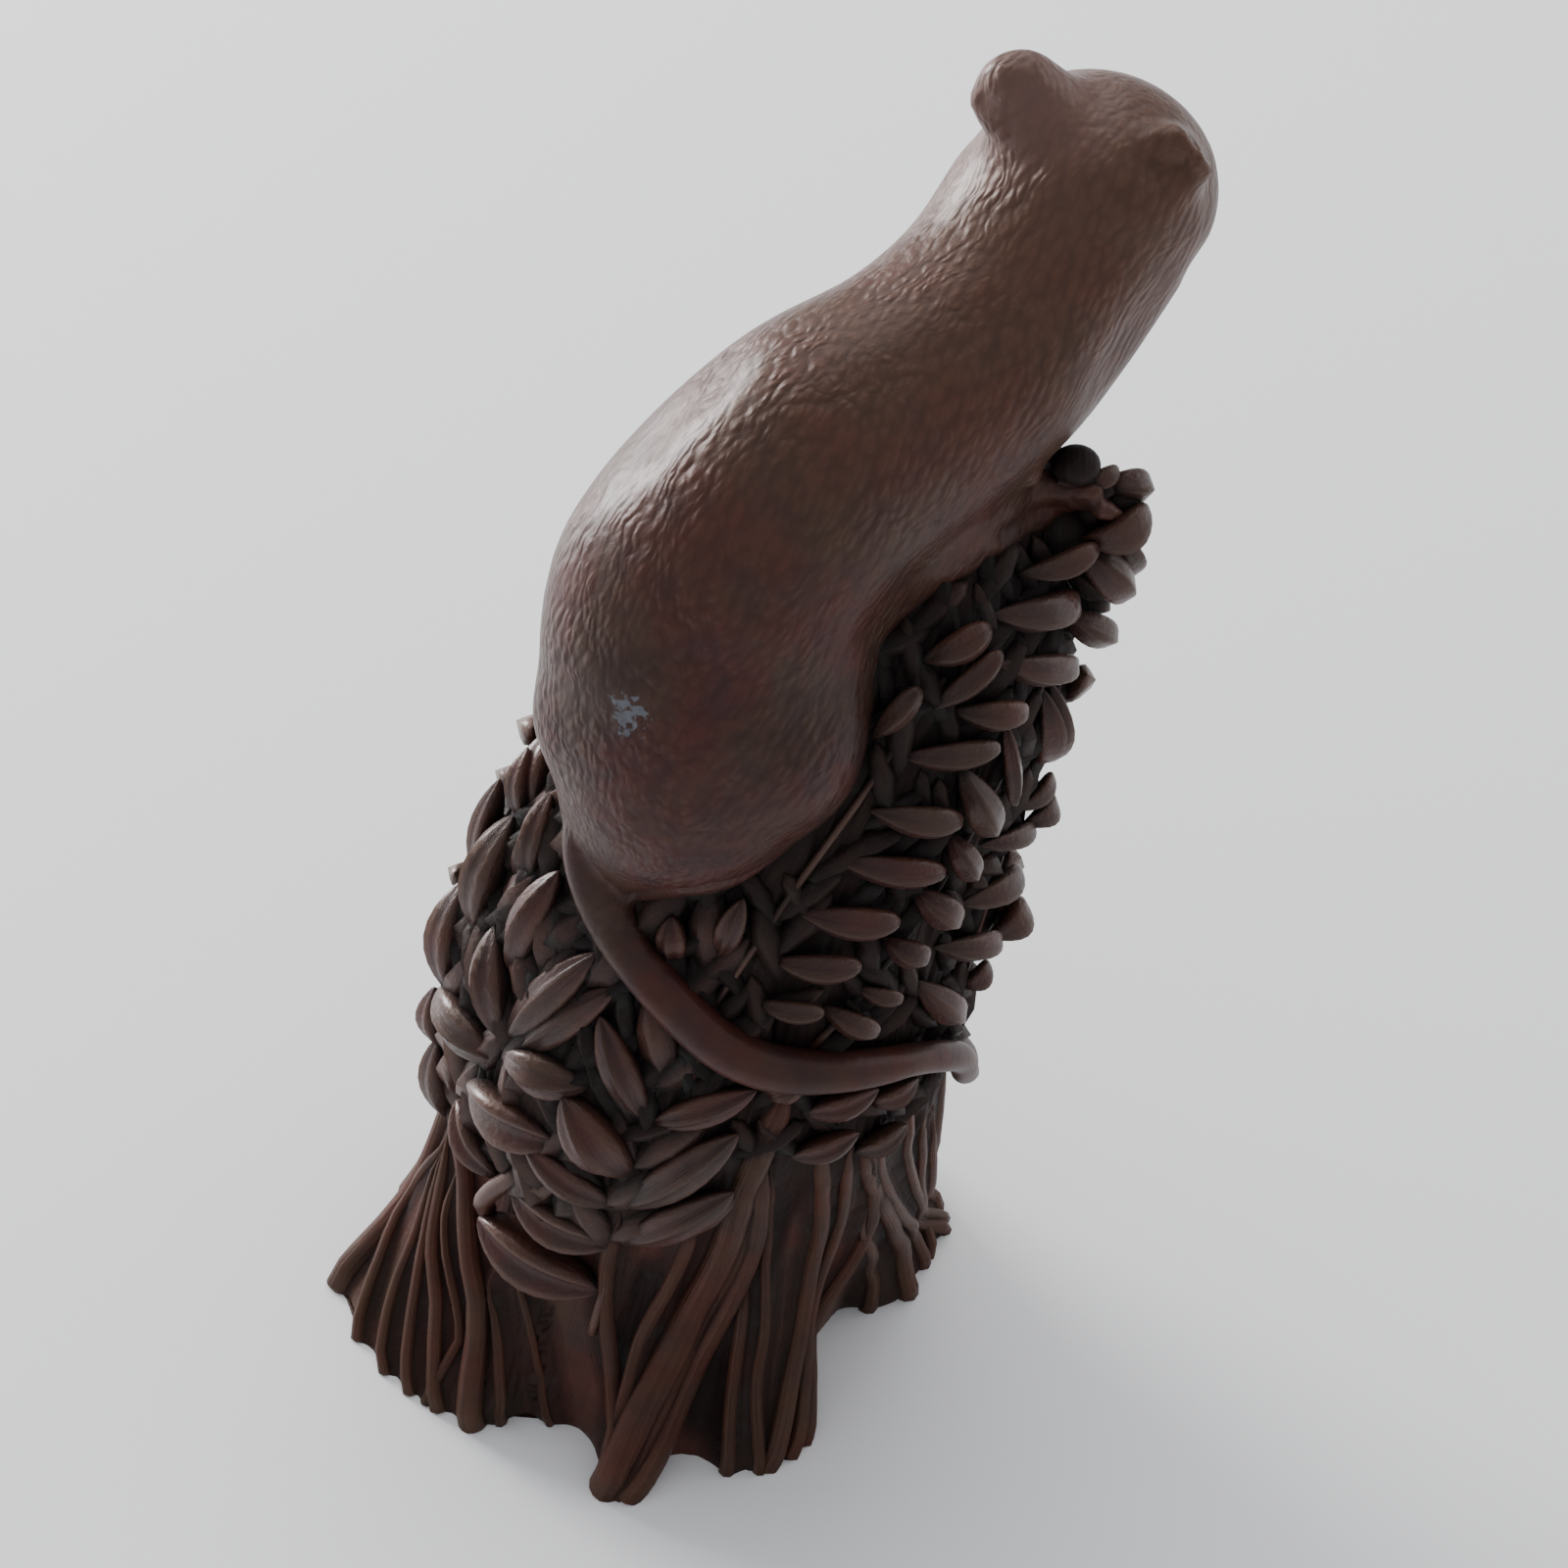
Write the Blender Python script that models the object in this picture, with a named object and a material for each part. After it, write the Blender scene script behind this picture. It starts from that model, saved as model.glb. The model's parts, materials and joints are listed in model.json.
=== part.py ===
"""A mouse climbing over the top of a wheat sheaf: a small ornament, cast in one piece.

The sheaf is a leaning, waisted core. Bundles of stalks flare from its waist to a scalloped foot, ears
of wheat cover it above the waist, and the mouse lies over its crown with the tail around it as a belt.
Lengths are in metres. Angles around the sheaf are in degrees from the front, -Y, positive toward +X,
and heights on it are shares of SHEAF_HEIGHT. Rows of values are joined by smooth curves.
"""

import math
import random

import bmesh
import bpy
from mathutils import Euler, Matrix, Vector

# Sheaf: the crown of its core stands above and beside the middle of its foot
SHEAF_HEIGHT = 0.095
SHEAF_LEAN = (0.030, 0.012)
FOOT_RADIUS = 0.0300
WAIST_RADIUS = 0.0210
BELLY_RADIUS = 0.0232
CROWN_RADIUS = 0.0090
FLARE_HEIGHT = 0.022

# The sheaf's rings lie level at the foot and square to the axis from this height up
RINGS_TURNED = 0.42

# Axis of the sheaf: height, share of the lean in X, share of the lean in Y
AXIS = (
    (0.00, 0.00, 0.00),
    (0.20, 0.16, 0.17),
    (0.43, 0.29, 0.30),
    (0.69, 0.53, 0.53),
    (0.89, 0.82, 0.81),
    (1.00, 1.00, 1.00),
)

# Round core: height and radius
CORE = (
    (0.00, 1.18 * WAIST_RADIUS),
    (0.10, 1.05 * WAIST_RADIUS),
    (0.19, WAIST_RADIUS),
    (0.30, 0.955 * BELLY_RADIUS),
    (0.42, BELLY_RADIUS),
    (0.60, 0.93 * BELLY_RADIUS),
    (0.75, 0.82 * BELLY_RADIUS),
    (0.87, 0.69 * BELLY_RADIUS),
    (0.95, 0.56 * BELLY_RADIUS),
    (1.00, CROWN_RADIUS),
)
CORE_RINGS = 24
CORE_SIDES = 60
CROWN_CAP = 0.35
# Step in height over which the slope of the axis is taken
NEAR = 0.005

# Scalloped foot: angle and the reach of the stalks there as a share of FOOT_RADIUS
SCALLOPS = (
    (-180, 1.00),
    (-165, 0.98),
    (-157, 0.87),
    (-149, 0.95),
    (-135, 0.93),
    (-120, 0.88),
    (-104, 0.90),
    (-97, 0.88),
    (-91, 0.97),
    (-84, 1.05),
    (-66, 1.03),
    (-48, 0.97),
    (-37, 0.93),
    (-31, 0.84),
    (-24, 0.80),
    (-15, 0.81),
    (-9, 0.91),
    (-6, 1.01),
    (-1, 1.04),
    (3, 1.00),
    (7, 0.91),
    (12, 0.91),
    (17, 0.97),
    (26, 1.03),
    (36, 1.00),
    (41, 0.92),
    (45, 0.79),
    (56, 0.755),
    (68, 0.765),
    (73, 0.80),
    (78, 0.91),
    (90, 0.98),
    (98, 1.07),
    (106, 1.05),
    (112, 0.90),
    (119, 0.98),
    (134, 1.03),
    (148, 0.98),
    (154, 0.88),
    (160, 0.96),
    (180, 1.00),
)

# Stalks
STALK_RADIUS = 0.0013
THICK_STALK_RADIUS = 0.0020
STALK_PROUD = 0.0007
STALK_TOE = 1.2
STALK_RINGS = 7
STALK_SIDES = 8
SUNK = 3 * THICK_STALK_RADIUS

# Bundles: first and last foot angle, first and last top angle, first and last top height, count, radius
BUNDLES = (
    ((-85, -38), (-90, -50), (0.20, 0.34), 7, STALK_RADIUS),
    ((-4.5, 2), (3, 12), (0.50, 0.50), 2, THICK_STALK_RADIUS),
    ((-7.5, -7.5), (-4, -4), (0.48, 0.48), 1, STALK_RADIUS),
    ((14, 39), (16, 40), (0.48, 0.42), 5, STALK_RADIUS),
    ((76, 106), (56, 94), (0.42, 0.32), 6, STALK_RADIUS),
    ((118, 149), (108, 144), (0.36, 0.34), 6, STALK_RADIUS),
    ((161, 197), (158, 200), (0.34, 0.32), 7, STALK_RADIUS),
    ((209, 262), (210, 256), (0.32, 0.25), 8, STALK_RADIUS),
)

# Stem that carries the low front ear: angle and height
FRONT_STEM = ((-9, 0.0), (-14, 0.08), (-17, 0.17), (-18, 0.30))
FRONT_STEM_RADIUS = 0.0016
STEM_RINGS = 14

# Grains of wheat: each root stands off the middle of its rachis by a share of the grain's width
GRAIN_LENGTH = 0.0105
GRAIN_WIDTH = 0.0034
GRAIN_DEPTH = 0.0030
GRAIN_SPACING = 0.0031
GRAIN_ROOT = 0.3
GRAIN_LIFT = 0.0010
GRAIN_SIDES = 8
# Shape of a grain: share of its length and fullness there
GRAIN_PROFILE = ((0.0, 0.30), (0.18, 0.78), (0.45, 1.0), (0.72, 0.80), (0.92, 0.38), (1.0, 0.08))
GRAIN_BOW = 0.35
LOOSE_GRAIN_SIZE = 1.15
# Above this height the ears open outward, up to this lift at the crown
CROWN_FROM = 0.90
CROWN_LIFT = 0.0055
RACHIS_RADIUS = 0.0011
RACHIS_LIFT = 0.0004
RACHIS_RINGS = 10
RACHIS_SIDES = 6
EAR_SAMPLES = 60
# Random shares by which grains differ in their spread, size and lift
SPREAD_JITTER = 0.14
SIZE_JITTER = 0.08
LIFT_JITTER = 0.28
SEED = 11

# Ears: spread of the grains to the left and right in degrees, then the rachis as angle, height and lift,
# which is a share of GRAIN_LIFT
EARS = (
    ((30, 40), ((-92, 0.22, 0.0), (-94, 0.34, 0.0), (-95, 0.48, 0.0), (-97, 0.62, 0.0), (-99, 0.78, 0.0))),
    ((24, 34), ((-60, 0.37, 0.0), (-72, 0.44, 0.0), (-79, 0.54, 0.0), (-84, 0.65, 0.0), (-86, 0.78, 0.0))),
    ((22, 44), ((-46, 0.43, 0.0), (-59, 0.53, 0.0), (-64, 0.62, 0.0), (-70, 0.72, 0.0), (-78, 0.84, 0.0))),
    ((56, 62), ((-18, 0.24, 1.0), (-18, 0.34, 1.0), (-17, 0.43, 1.0), (-16, 0.50, 0.0))),
    ((26, 58), ((-11, 0.60, 0.0), (-6, 0.70, 0.0), (0, 0.81, 0.0), (8, 0.89, 0.0), (24, 0.965, 0.0))),
    ((40, 60), ((21, 0.58, 0.0), (31, 0.69, 0.0), (37, 0.79, 0.0), (47, 0.88, 0.0), (56, 0.95, 1.0))),
    ((40, 45), ((48, 0.54, 0.0), (56, 0.65, 0.0), (64, 0.76, 0.0), (70, 0.87, 0.0), (76, 0.96, 1.0))),
    ((40, 40), ((78, 0.46, 0.0), (84, 0.58, 0.0), (88, 0.70, 0.0), (92, 0.82, 0.0), (98, 0.97, 1.0))),
    ((45, 45), ((106, 0.38, 0.0), (112, 0.50, 0.0), (120, 0.64, 0.0), (128, 0.80, 0.0), (134, 0.98, 0.0))),
    ((45, 45), ((138, 0.33, 0.0), (143, 0.46, 0.0), (150, 0.60, 0.0), (156, 0.78, 0.0), (162, 0.98, 0.0))),
    ((45, 45), ((170, 0.30, 0.0), (174, 0.44, 0.0), (180, 0.58, 0.0), (186, 0.77, 0.0), (190, 0.98, 0.0))),
    ((45, 45), ((202, 0.30, 0.0), (206, 0.44, 0.0), (211, 0.60, 0.0), (216, 0.77, 0.0), (220, 0.97, 0.0))),
    ((45, 45), ((234, 0.28, 0.0), (238, 0.42, 0.0), (242, 0.56, 0.0), (246, 0.74, 0.0), (250, 0.95, 0.0))),
)

# Loose grains: angle, height and lift of the root, then of the point, with each lift a share of GRAIN_LIFT
LOOSE_GRAINS = (
    ((-36, 0.41, 0.0), (-61, 0.36, 1.0)),
    ((-51, 0.27, 0.0), (-75, 0.29, 1.0)),
    ((-50, 0.40, 0.0), (-77, 0.43, 1.0)),
    ((-19, 0.20, 0.0), (-51, 0.185, 1.0)),
    ((-50, 0.45, 0.0), (-32, 0.47, 1.0)),
    ((-56, 0.20, 0.0), (-38, 0.30, 1.0)),
    ((24, 0.44, 0.0), (34, 0.47, 1.0)),
    ((12, 0.43, 0.0), (24, 0.40, 1.0)),
    ((30, 0.40, 0.0), (42, 0.43, 1.0)),
    ((66, 1.02, 0.0), (74, 1.03, 8.5)),
    ((76, 1.00, 0.0), (86, 1.00, 8.8)),
    ((66, 0.97, 0.0), (76, 0.99, 8.5)),
    ((64, 0.94, 0.0), (75, 0.965, 8.0)),
    ((62, 0.91, 0.0), (73, 0.945, 6.0)),
    ((84, 1.03, -2.0), (92, 1.045, 4.0)),
)

# Mouse: its measures are shares of MOUSE_LENGTH, forward, to the right and up from the sheaf's crown
MOUSE_LENGTH = 0.080
MOUSE_HEADING = 42.0

# Spine: forward, right, up, then the half width and the half height of the body
SPINE = (
    (-0.488, -0.082, -0.400, 0.034, 0.034),
    (-0.435, -0.062, -0.330, 0.112, 0.095),
    (-0.377, -0.036, -0.225, 0.164, 0.142),
    (-0.335, -0.044, -0.135, 0.186, 0.158),
    (-0.285, -0.056, -0.025, 0.188, 0.163),
    (-0.180, -0.034, 0.085, 0.168, 0.160),
    (-0.040, -0.008, 0.140, 0.145, 0.144),
    (0.075, 0.001, 0.198, 0.143, 0.130),
    (0.175, -0.004, 0.275, 0.145, 0.126),
)
SPINE_RINGS = 26
BODY_SIDES = 24

# Head: heading, tip and roll in degrees, then its centre
HEAD_TURN = 66.0
HEAD_TIP = 18.0
HEAD_ROLL = 10.0
HEAD_CENTRE = (0.192, 0.004, 0.308)
# Balls of the head: place ahead, right and above its centre, then half length, width and height
SKULL = ((0.000, 0.000, 0.000), (0.132, 0.138, 0.124))
BROW = ((0.085, 0.000, -0.020), (0.105, 0.098, 0.085))
SNOUT = ((0.165, 0.000, -0.040), (0.082, 0.050, 0.044))
NOSE = ((0.235, 0.000, -0.043), (0.020, 0.021, 0.018))
CHEEK = ((0.060, 0.066, -0.045), (0.060, 0.050, 0.050))
EYE = ((0.112, 0.066, 0.026), (0.024, 0.020, 0.024))
EAR = ((-0.074, 0.098, 0.091), (0.020, 0.049, 0.049))
EAR_LEAN = (38.0, -14.0, -20.0)

# Limbs: forward, right, up and radius of balls along each, from the body to the paw
RIGHT_SIDE = (
    (-0.325, 0.030, -0.165, 0.130),
    (-0.203, 0.036, -0.035, 0.105),
    (-0.082, 0.038, 0.010, 0.092),
    (0.010, 0.043, -0.005, 0.085),
    (0.075, 0.052, -0.030, 0.058),
    (0.130, 0.068, -0.050, 0.030),
)
LEFT_ARM = (
    (-0.050, -0.060, 0.060, 0.100),
    (0.030, -0.092, 0.020, 0.062),
    (0.085, -0.105, -0.030, 0.042),
    (0.115, -0.105, -0.075, 0.030),
)
LEFT_HAUNCH = (
    (-0.320, -0.090, -0.130, 0.128),
    (-0.240, -0.130, -0.140, 0.090),
    (-0.190, -0.160, -0.195, 0.050),
    (-0.130, -0.170, -0.215, 0.032),
)
LIMB_RINGS = 6
LIMB_SIDES = 16

# Tail: radius at the rump and at its end, then angle and height around the sheaf
TAIL_RADIUS = 0.0027
TAIL_END_RADIUS = 0.0007
TAIL_TAPER = 0.75
TAIL_PROUD = 0.0022
TAIL_SIDES = 12
TAIL_RINGS = 120
TAIL_PATH = (
    (-42, 0.625),
    (-31, 0.595),
    (-18, 0.572),
    (-2, 0.548),
    (13, 0.538),
    (28, 0.530),
    (44, 0.505),
    (60, 0.445),
    (76, 0.380),
    (92, 0.330),
    (118, 0.265),
    (146, 0.205),
    (172, 0.165),
)

# Skin of the cast: its grid and its number of triangles
SKIN_GRID = 0.0007
SKIN_TRIANGLES = 9600

# Dark brown bronze-filled resin
RESIN_COLOUR = (0.062, 0.036, 0.026, 1.0)
RESIN_ROUGHNESS = 0.42
RESIN_METALLIC = 0.35


def curve(rows, place):
    """Values of a smooth curve at a place, through rows that each hold a place and its values."""
    places = [row[0] for row in rows]
    place = min(max(place, places[0]), places[-1])
    index = max(number for number in range(len(rows) - 1) if places[number] <= place)
    step = places[index + 1] - places[index]
    share = (place - places[index]) / step

    def slope(number, column):
        low, high = max(number - 1, 0), min(number + 1, len(rows) - 1)
        return (rows[high][column] - rows[low][column]) / (places[high] - places[low])

    values = []
    for column in range(1, len(rows[0])):
        start, end = rows[index][column], rows[index + 1][column]
        blend = share * share * (3 - 2 * share)
        rise = share * (1 - share) ** 2 * slope(index, column)
        fall = share * share * (1 - share) * slope(index + 1, column)
        values.append(start + (end - start) * blend + step * (rise - fall))
    return values


def resample(rows, count):
    """A number of rows, evenly spaced by number along the smooth curve through the given rows."""
    numbered = [(number, *row) for number, row in enumerate(rows)]
    return [curve(numbered, (len(rows) - 1) * index / (count - 1)) for index in range(count)]


def mix(pair, share):
    return pair[0] + (pair[1] - pair[0]) * share


def axis_point(height):
    """Centre of the sheaf at a height."""
    lean_x, lean_y = curve(AXIS, height)
    return Vector((lean_x * SHEAF_LEAN[0], lean_y * SHEAF_LEAN[1], height * SHEAF_HEIGHT))


def core_radius(angle, height):
    """Radius of the core, shaped by the scalloped foot below FLARE_HEIGHT."""
    radius = curve(CORE, height)[0]
    flare = max(1.0 - height * SHEAF_HEIGHT / FLARE_HEIGHT, 0.0) ** 2
    reach = curve(SCALLOPS, (angle + 180.0) % 360.0 - 180.0)[0] * FOOT_RADIUS
    return radius + (reach - STALK_RADIUS - STALK_PROUD - CORE[0][1]) * min(flare, 1.0)


def on_sheaf(angle, height, lift=0.0):
    """Point of the core's surface, lifted off it."""
    rise = (axis_point(height + NEAR) - axis_point(height - NEAR)).normalized()
    up = Vector((0, 0, 1)).lerp(rise, min(height / RINGS_TURNED, 1.0)).normalized()
    right = Vector((0, 1, 0)).cross(up).normalized()
    back = up.cross(right)
    reach = core_radius(angle, height) + lift
    turn = math.radians(angle)
    return axis_point(height) + reach * (math.sin(turn) * right - math.cos(turn) * back)


def outward(angle, height):
    return (on_sheaf(angle, height, 0.001) - on_sheaf(angle, height)).normalized()


def below(point):
    """The same point under the ground, where the foot is trimmed."""
    return point - Vector((0, 0, SUNK))


def loft(bm, rings):
    """Closed body through rings of equally many points."""
    loops = [[bm.verts.new(point) for point in ring] for ring in rings]
    for low, high in zip(loops, loops[1:]):
        for index in range(len(low)):
            after = (index + 1) % len(low)
            bm.faces.new((low[index], low[after], high[after], high[index]))
    bm.faces.new(reversed(loops[0]))
    bm.faces.new(loops[-1])


def oval(centre, right, up, half_width, half_height, sides):
    """Ring of points around a centre."""
    turns = [math.tau * index / sides for index in range(sides)]
    right, up = half_width * right, half_height * up
    return [centre + math.cos(turn) * right + math.sin(turn) * up for turn in turns]


def tube(bm, points, radii, sides):
    """Round body through points, each with its own radius."""
    rings = []
    normal = None
    for index, point in enumerate(points):
        ahead = (points[min(index + 1, len(points) - 1)] - points[max(index - 1, 0)]).normalized()
        normal = ahead.orthogonal() if normal is None else normal - ahead * normal.dot(ahead)
        normal.normalize()
        rings.append(oval(point, normal, ahead.cross(normal), radii[index], radii[index], sides))
    loft(bm, rings)


def ball(bm, place, half_sizes):
    """Ellipsoid under a placing matrix."""
    matrix = place @ Matrix.Diagonal((*half_sizes, 1.0))
    bmesh.ops.create_uvsphere(bm, u_segments=16, v_segments=10, radius=1.0, matrix=matrix)


def add_core(bm):
    """Waisted core of the sheaf, from below the ground to its rounded crown."""
    angles = [360.0 * index / CORE_SIDES for index in range(CORE_SIDES)]
    heights = [index / (CORE_RINGS - 1) for index in range(CORE_RINGS)]
    rings = [[on_sheaf(angle, height) for angle in angles] for height in heights]
    crown = axis_point(1.0) + Vector((0, 0, CROWN_CAP * CROWN_RADIUS))
    rings.insert(0, [below(point) for point in rings[0]])
    rings.append([crown.lerp(point, CROWN_CAP) for point in rings[-1]])
    loft(bm, rings)


def add_stalk(bm, foot_angle, top_angle, top_height, radius):
    """One stalk along the core, from below the ground up to its top."""
    points = [below(on_sheaf(foot_angle, 0.0, STALK_PROUD))]
    radii = [radius * STALK_TOE]
    for step in range(STALK_RINGS):
        share = step / (STALK_RINGS - 1)
        angle = mix((foot_angle, top_angle), share)
        points.append(on_sheaf(angle, top_height * share, STALK_PROUD * (1.0 - share)))
        radii.append(radius * mix((STALK_TOE, 1.0), min(2.0 * share, 1.0)))
    tube(bm, points, radii, STALK_SIDES)


def add_bundles(bm):
    """Every bundle of stalks, and the stem of the low front ear."""
    for feet, tops, heights, count, radius in BUNDLES:
        for index in range(count):
            share = index / max(count - 1, 1)
            add_stalk(bm, mix(feet, share), mix(tops, share), mix(heights, share), radius)
    stem = [on_sheaf(angle, height, STALK_PROUD) for angle, height in FRONT_STEM]
    stem.insert(0, below(stem[0]))
    points = [Vector(row) for row in resample(stem, STEM_RINGS)]
    tube(bm, points, [FRONT_STEM_RADIUS] * STEM_RINGS, STALK_SIDES)


def add_grain(bm, root, point, out, size):
    """Plump pointed grain from its root to its point, bowed outward."""
    ahead = (point - root).normalized()
    side = ahead.cross(out).normalized()
    up = side.cross(ahead)
    rings = []
    for share, fullness in GRAIN_PROFILE:
        centre = root.lerp(point, share) + up * GRAIN_BOW * GRAIN_DEPTH * math.sin(math.pi * share)
        half = 0.5 * size * fullness
        rings.append(oval(centre, side, up, half * GRAIN_WIDTH, half * GRAIN_DEPTH, GRAIN_SIDES))
    loft(bm, rings)


def add_ear(bm, spreads, path, rng):
    """Ear of wheat: a rachis with a grain to either side in turn, each pointing out and along it."""
    samples = resample(path, EAR_SAMPLES + 1)
    points = [on_sheaf(angle, height, lift * GRAIN_LIFT + RACHIS_LIFT) for angle, height, lift in samples]
    rachis = points[:: EAR_SAMPLES // RACHIS_RINGS]
    tube(bm, rachis, [RACHIS_RADIUS] * len(rachis), RACHIS_SIDES)
    travelled = 0.0
    on_right = 0
    for before, point, (angle, height, _) in zip(points, points[1:], samples[1:]):
        travelled += (point - before).length
        if travelled < GRAIN_SPACING:
            continue
        travelled = 0.0
        on_right = 1 - on_right
        out = outward(angle, height)
        ahead = (point - before).normalized()
        side = ahead.cross(out) * (1 if on_right else -1)
        spread = math.radians(spreads[on_right] * (1.0 + SPREAD_JITTER * rng.uniform(-1, 1)))
        size = 1.0 + SIZE_JITTER * rng.uniform(-1, 1)
        lift = GRAIN_LIFT * (1.0 + LIFT_JITTER * rng.uniform(-1, 1))
        lift += CROWN_LIFT * max(0.0, height - CROWN_FROM) / (1.0 - CROWN_FROM)
        root = point + side * GRAIN_ROOT * GRAIN_WIDTH
        way = ahead * math.cos(spread) + side * math.sin(spread)
        add_grain(bm, root, root + way * GRAIN_LENGTH * size + out * lift, out, size)


def add_ears(bm):
    rng = random.Random(SEED)
    for spreads, path in EARS:
        add_ear(bm, spreads, path, rng)
    for grain in LOOSE_GRAINS:
        root, point = (on_sheaf(angle, height, lift * GRAIN_LIFT) for angle, height, lift in grain)
        add_grain(bm, root, point, outward(*grain[0][:2]), LOOSE_GRAIN_SIZE)


def mouse_point(forward, right, up):
    """Point of the mouse from its measures."""
    turn = Matrix.Rotation(math.radians(MOUSE_HEADING), 3, "Z")
    return axis_point(1.0) + MOUSE_LENGTH * (turn @ Vector((forward, -right, up)))


def add_body(bm):
    """Body of the mouse as oval rings square to its spine."""
    rows = resample(SPINE, SPINE_RINGS)
    points = [mouse_point(*row[:3]) for row in rows]
    rings = []
    for index, (point, row) in enumerate(zip(points, rows)):
        ahead = (points[min(index + 1, len(points) - 1)] - points[max(index - 1, 0)]).normalized()
        side = ahead.cross(Vector((0, 0, 1))).normalized()
        half_width, half_height = row[3] * MOUSE_LENGTH, row[4] * MOUSE_LENGTH
        rings.append(oval(point, side, side.cross(ahead), half_width, half_height, BODY_SIDES))
    loft(bm, rings)


def head_ball(bm, shape, side=1, lean=(0.0, 0.0, 0.0)):
    """Ball of the head on its right side (1) or left side (-1); X runs ahead to the nose and Z up."""
    (ahead, right, up), halves = shape
    turn = Euler([math.radians(angle) for angle in (HEAD_ROLL, HEAD_TIP, HEAD_TURN)])
    tilt = Euler([math.radians(angle) for angle in (lean[0] * side, lean[1], lean[2] * side)])
    head = Matrix.Translation(mouse_point(*HEAD_CENTRE)) @ turn.to_matrix().to_4x4()
    offset = Matrix.Translation(MOUSE_LENGTH * Vector((ahead, -right * side, up)))
    ball(bm, head @ offset @ tilt.to_matrix().to_4x4(), [MOUSE_LENGTH * half for half in halves])


def add_head(bm):
    for shape in (SKULL, BROW, SNOUT, NOSE):
        head_ball(bm, shape)
    for side in (1, -1):
        head_ball(bm, CHEEK, side)
        head_ball(bm, EYE, side)
        head_ball(bm, EAR, side, EAR_LEAN)


def add_limbs(bm):
    """Each limb as a tube through its balls, round at both ends."""
    for limb in (RIGHT_SIDE, LEFT_ARM, LEFT_HAUNCH):
        rows = resample(limb, LIMB_RINGS * (len(limb) - 1) + 1)
        points = [mouse_point(*row[:3]) for row in rows]
        radii = [row[3] * MOUSE_LENGTH for row in rows]
        tube(bm, points, radii, LIMB_SIDES)
        for end in (0, -1):
            ball(bm, Matrix.Translation(points[end]), [radii[end]] * 3)


def add_tail(bm):
    """Tail from the rump onto the sheaf and down around it."""
    route = [mouse_point(*SPINE[1][:3]), mouse_point(*SPINE[0][:3])]
    route += [on_sheaf(angle, height, TAIL_PROUD) for angle, height in TAIL_PATH]
    points = [Vector(row) for row in resample(route, TAIL_RINGS)]
    shares = [index / (TAIL_RINGS - 1) for index in range(TAIL_RINGS)]
    radii = [mix((TAIL_RADIUS, TAIL_END_RADIUS), share**TAIL_TAPER) for share in shares]
    tube(bm, points, radii, TAIL_SIDES)


def new_object(name, *makers):
    """Object whose mesh holds the bodies that the makers add."""
    bm = bmesh.new()
    for maker in makers:
        maker(bm)
    bmesh.ops.recalc_face_normals(bm, faces=bm.faces)
    mesh = bpy.data.meshes.new(name)
    bm.to_mesh(mesh)
    bm.free()
    item = bpy.data.objects.new(name, mesh)
    bpy.context.collection.objects.link(item)
    return item


def add_ground(bm):
    """Block that fills the space under the ground."""
    place = Matrix.Translation((0, 0, -SHEAF_HEIGHT))
    bmesh.ops.create_cube(bm, size=2 * SHEAF_HEIGHT, matrix=place)


def resin():
    material = bpy.data.materials.new("bronze_resin")
    material.use_nodes = True
    shader = material.node_tree.nodes["Principled BSDF"]
    shader.inputs["Base Color"].default_value = RESIN_COLOUR
    shader.inputs["Roughness"].default_value = RESIN_ROUGHNESS
    shader.inputs["Metallic"].default_value = RESIN_METALLIC
    return material


def measure(item):
    """Triangles, and the middle of the box in X and Y, of an object as its modifiers leave it."""
    evaluated = item.evaluated_get(bpy.context.evaluated_depsgraph_get())
    mesh = evaluated.to_mesh()
    triangles = sum(len(face.vertices) - 2 for face in mesh.polygons)
    across = [vertex.co.x for vertex in mesh.vertices]
    along = [vertex.co.y for vertex in mesh.vertices]
    middle = ((min(across) + max(across)) / 2, (min(along) + max(along)) / 2)
    evaluated.to_mesh_clear()
    return triangles, middle


def build():
    """Fuse the bodies into one skin, thin it, trim the foot flat and stand its box over the origin."""
    for item in list(bpy.data.objects):
        bpy.data.objects.remove(item)
    ground = new_object("ground", add_ground)
    ground.hide_render = True
    ground.display_type = "WIRE"
    makers = (add_core, add_bundles, add_ears, add_body, add_head, add_limbs, add_tail)
    cast = new_object("mouse_on_wheatsheaf", *makers)
    cast.data.materials.append(resin())
    skin = cast.modifiers.new("skin", "REMESH")
    skin.mode = "VOXEL"
    skin.voxel_size = SKIN_GRID
    skin.use_smooth_shade = True
    bpy.context.view_layer.update()
    triangles, _ = measure(cast)
    thin = cast.modifiers.new("thin", "DECIMATE")
    thin.ratio = min(1.0, SKIN_TRIANGLES / triangles)
    trim = cast.modifiers.new("trim", "BOOLEAN")
    trim.operation = "DIFFERENCE"
    trim.object = ground
    bpy.context.view_layer.update()
    _, middle = measure(cast)
    for item in (cast, ground):
        item.location = (-middle[0], -middle[1], 0)


build()
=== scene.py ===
"""Dressed model of a small cast ornament: a mouse that climbs over the crown of a wheat sheaf.

The forms repeat the sizes of the fixed frame in metres. Angles around the sheaf are in degrees from the
front, -Y, positive toward +X, and heights on it are shares of its height. Measures of the mouse are
shares of its length, forward, to the right and up from the crown of the sheaf.
"""

import json
import logging
import math
import random
from dataclasses import dataclass, field
from enum import Enum
from typing import Callable, Iterable, Sequence

import bmesh
import bpy
import numpy as np
from mathutils import Euler, Matrix, Vector, noise
from mathutils.bvhtree import BVHTree

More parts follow.
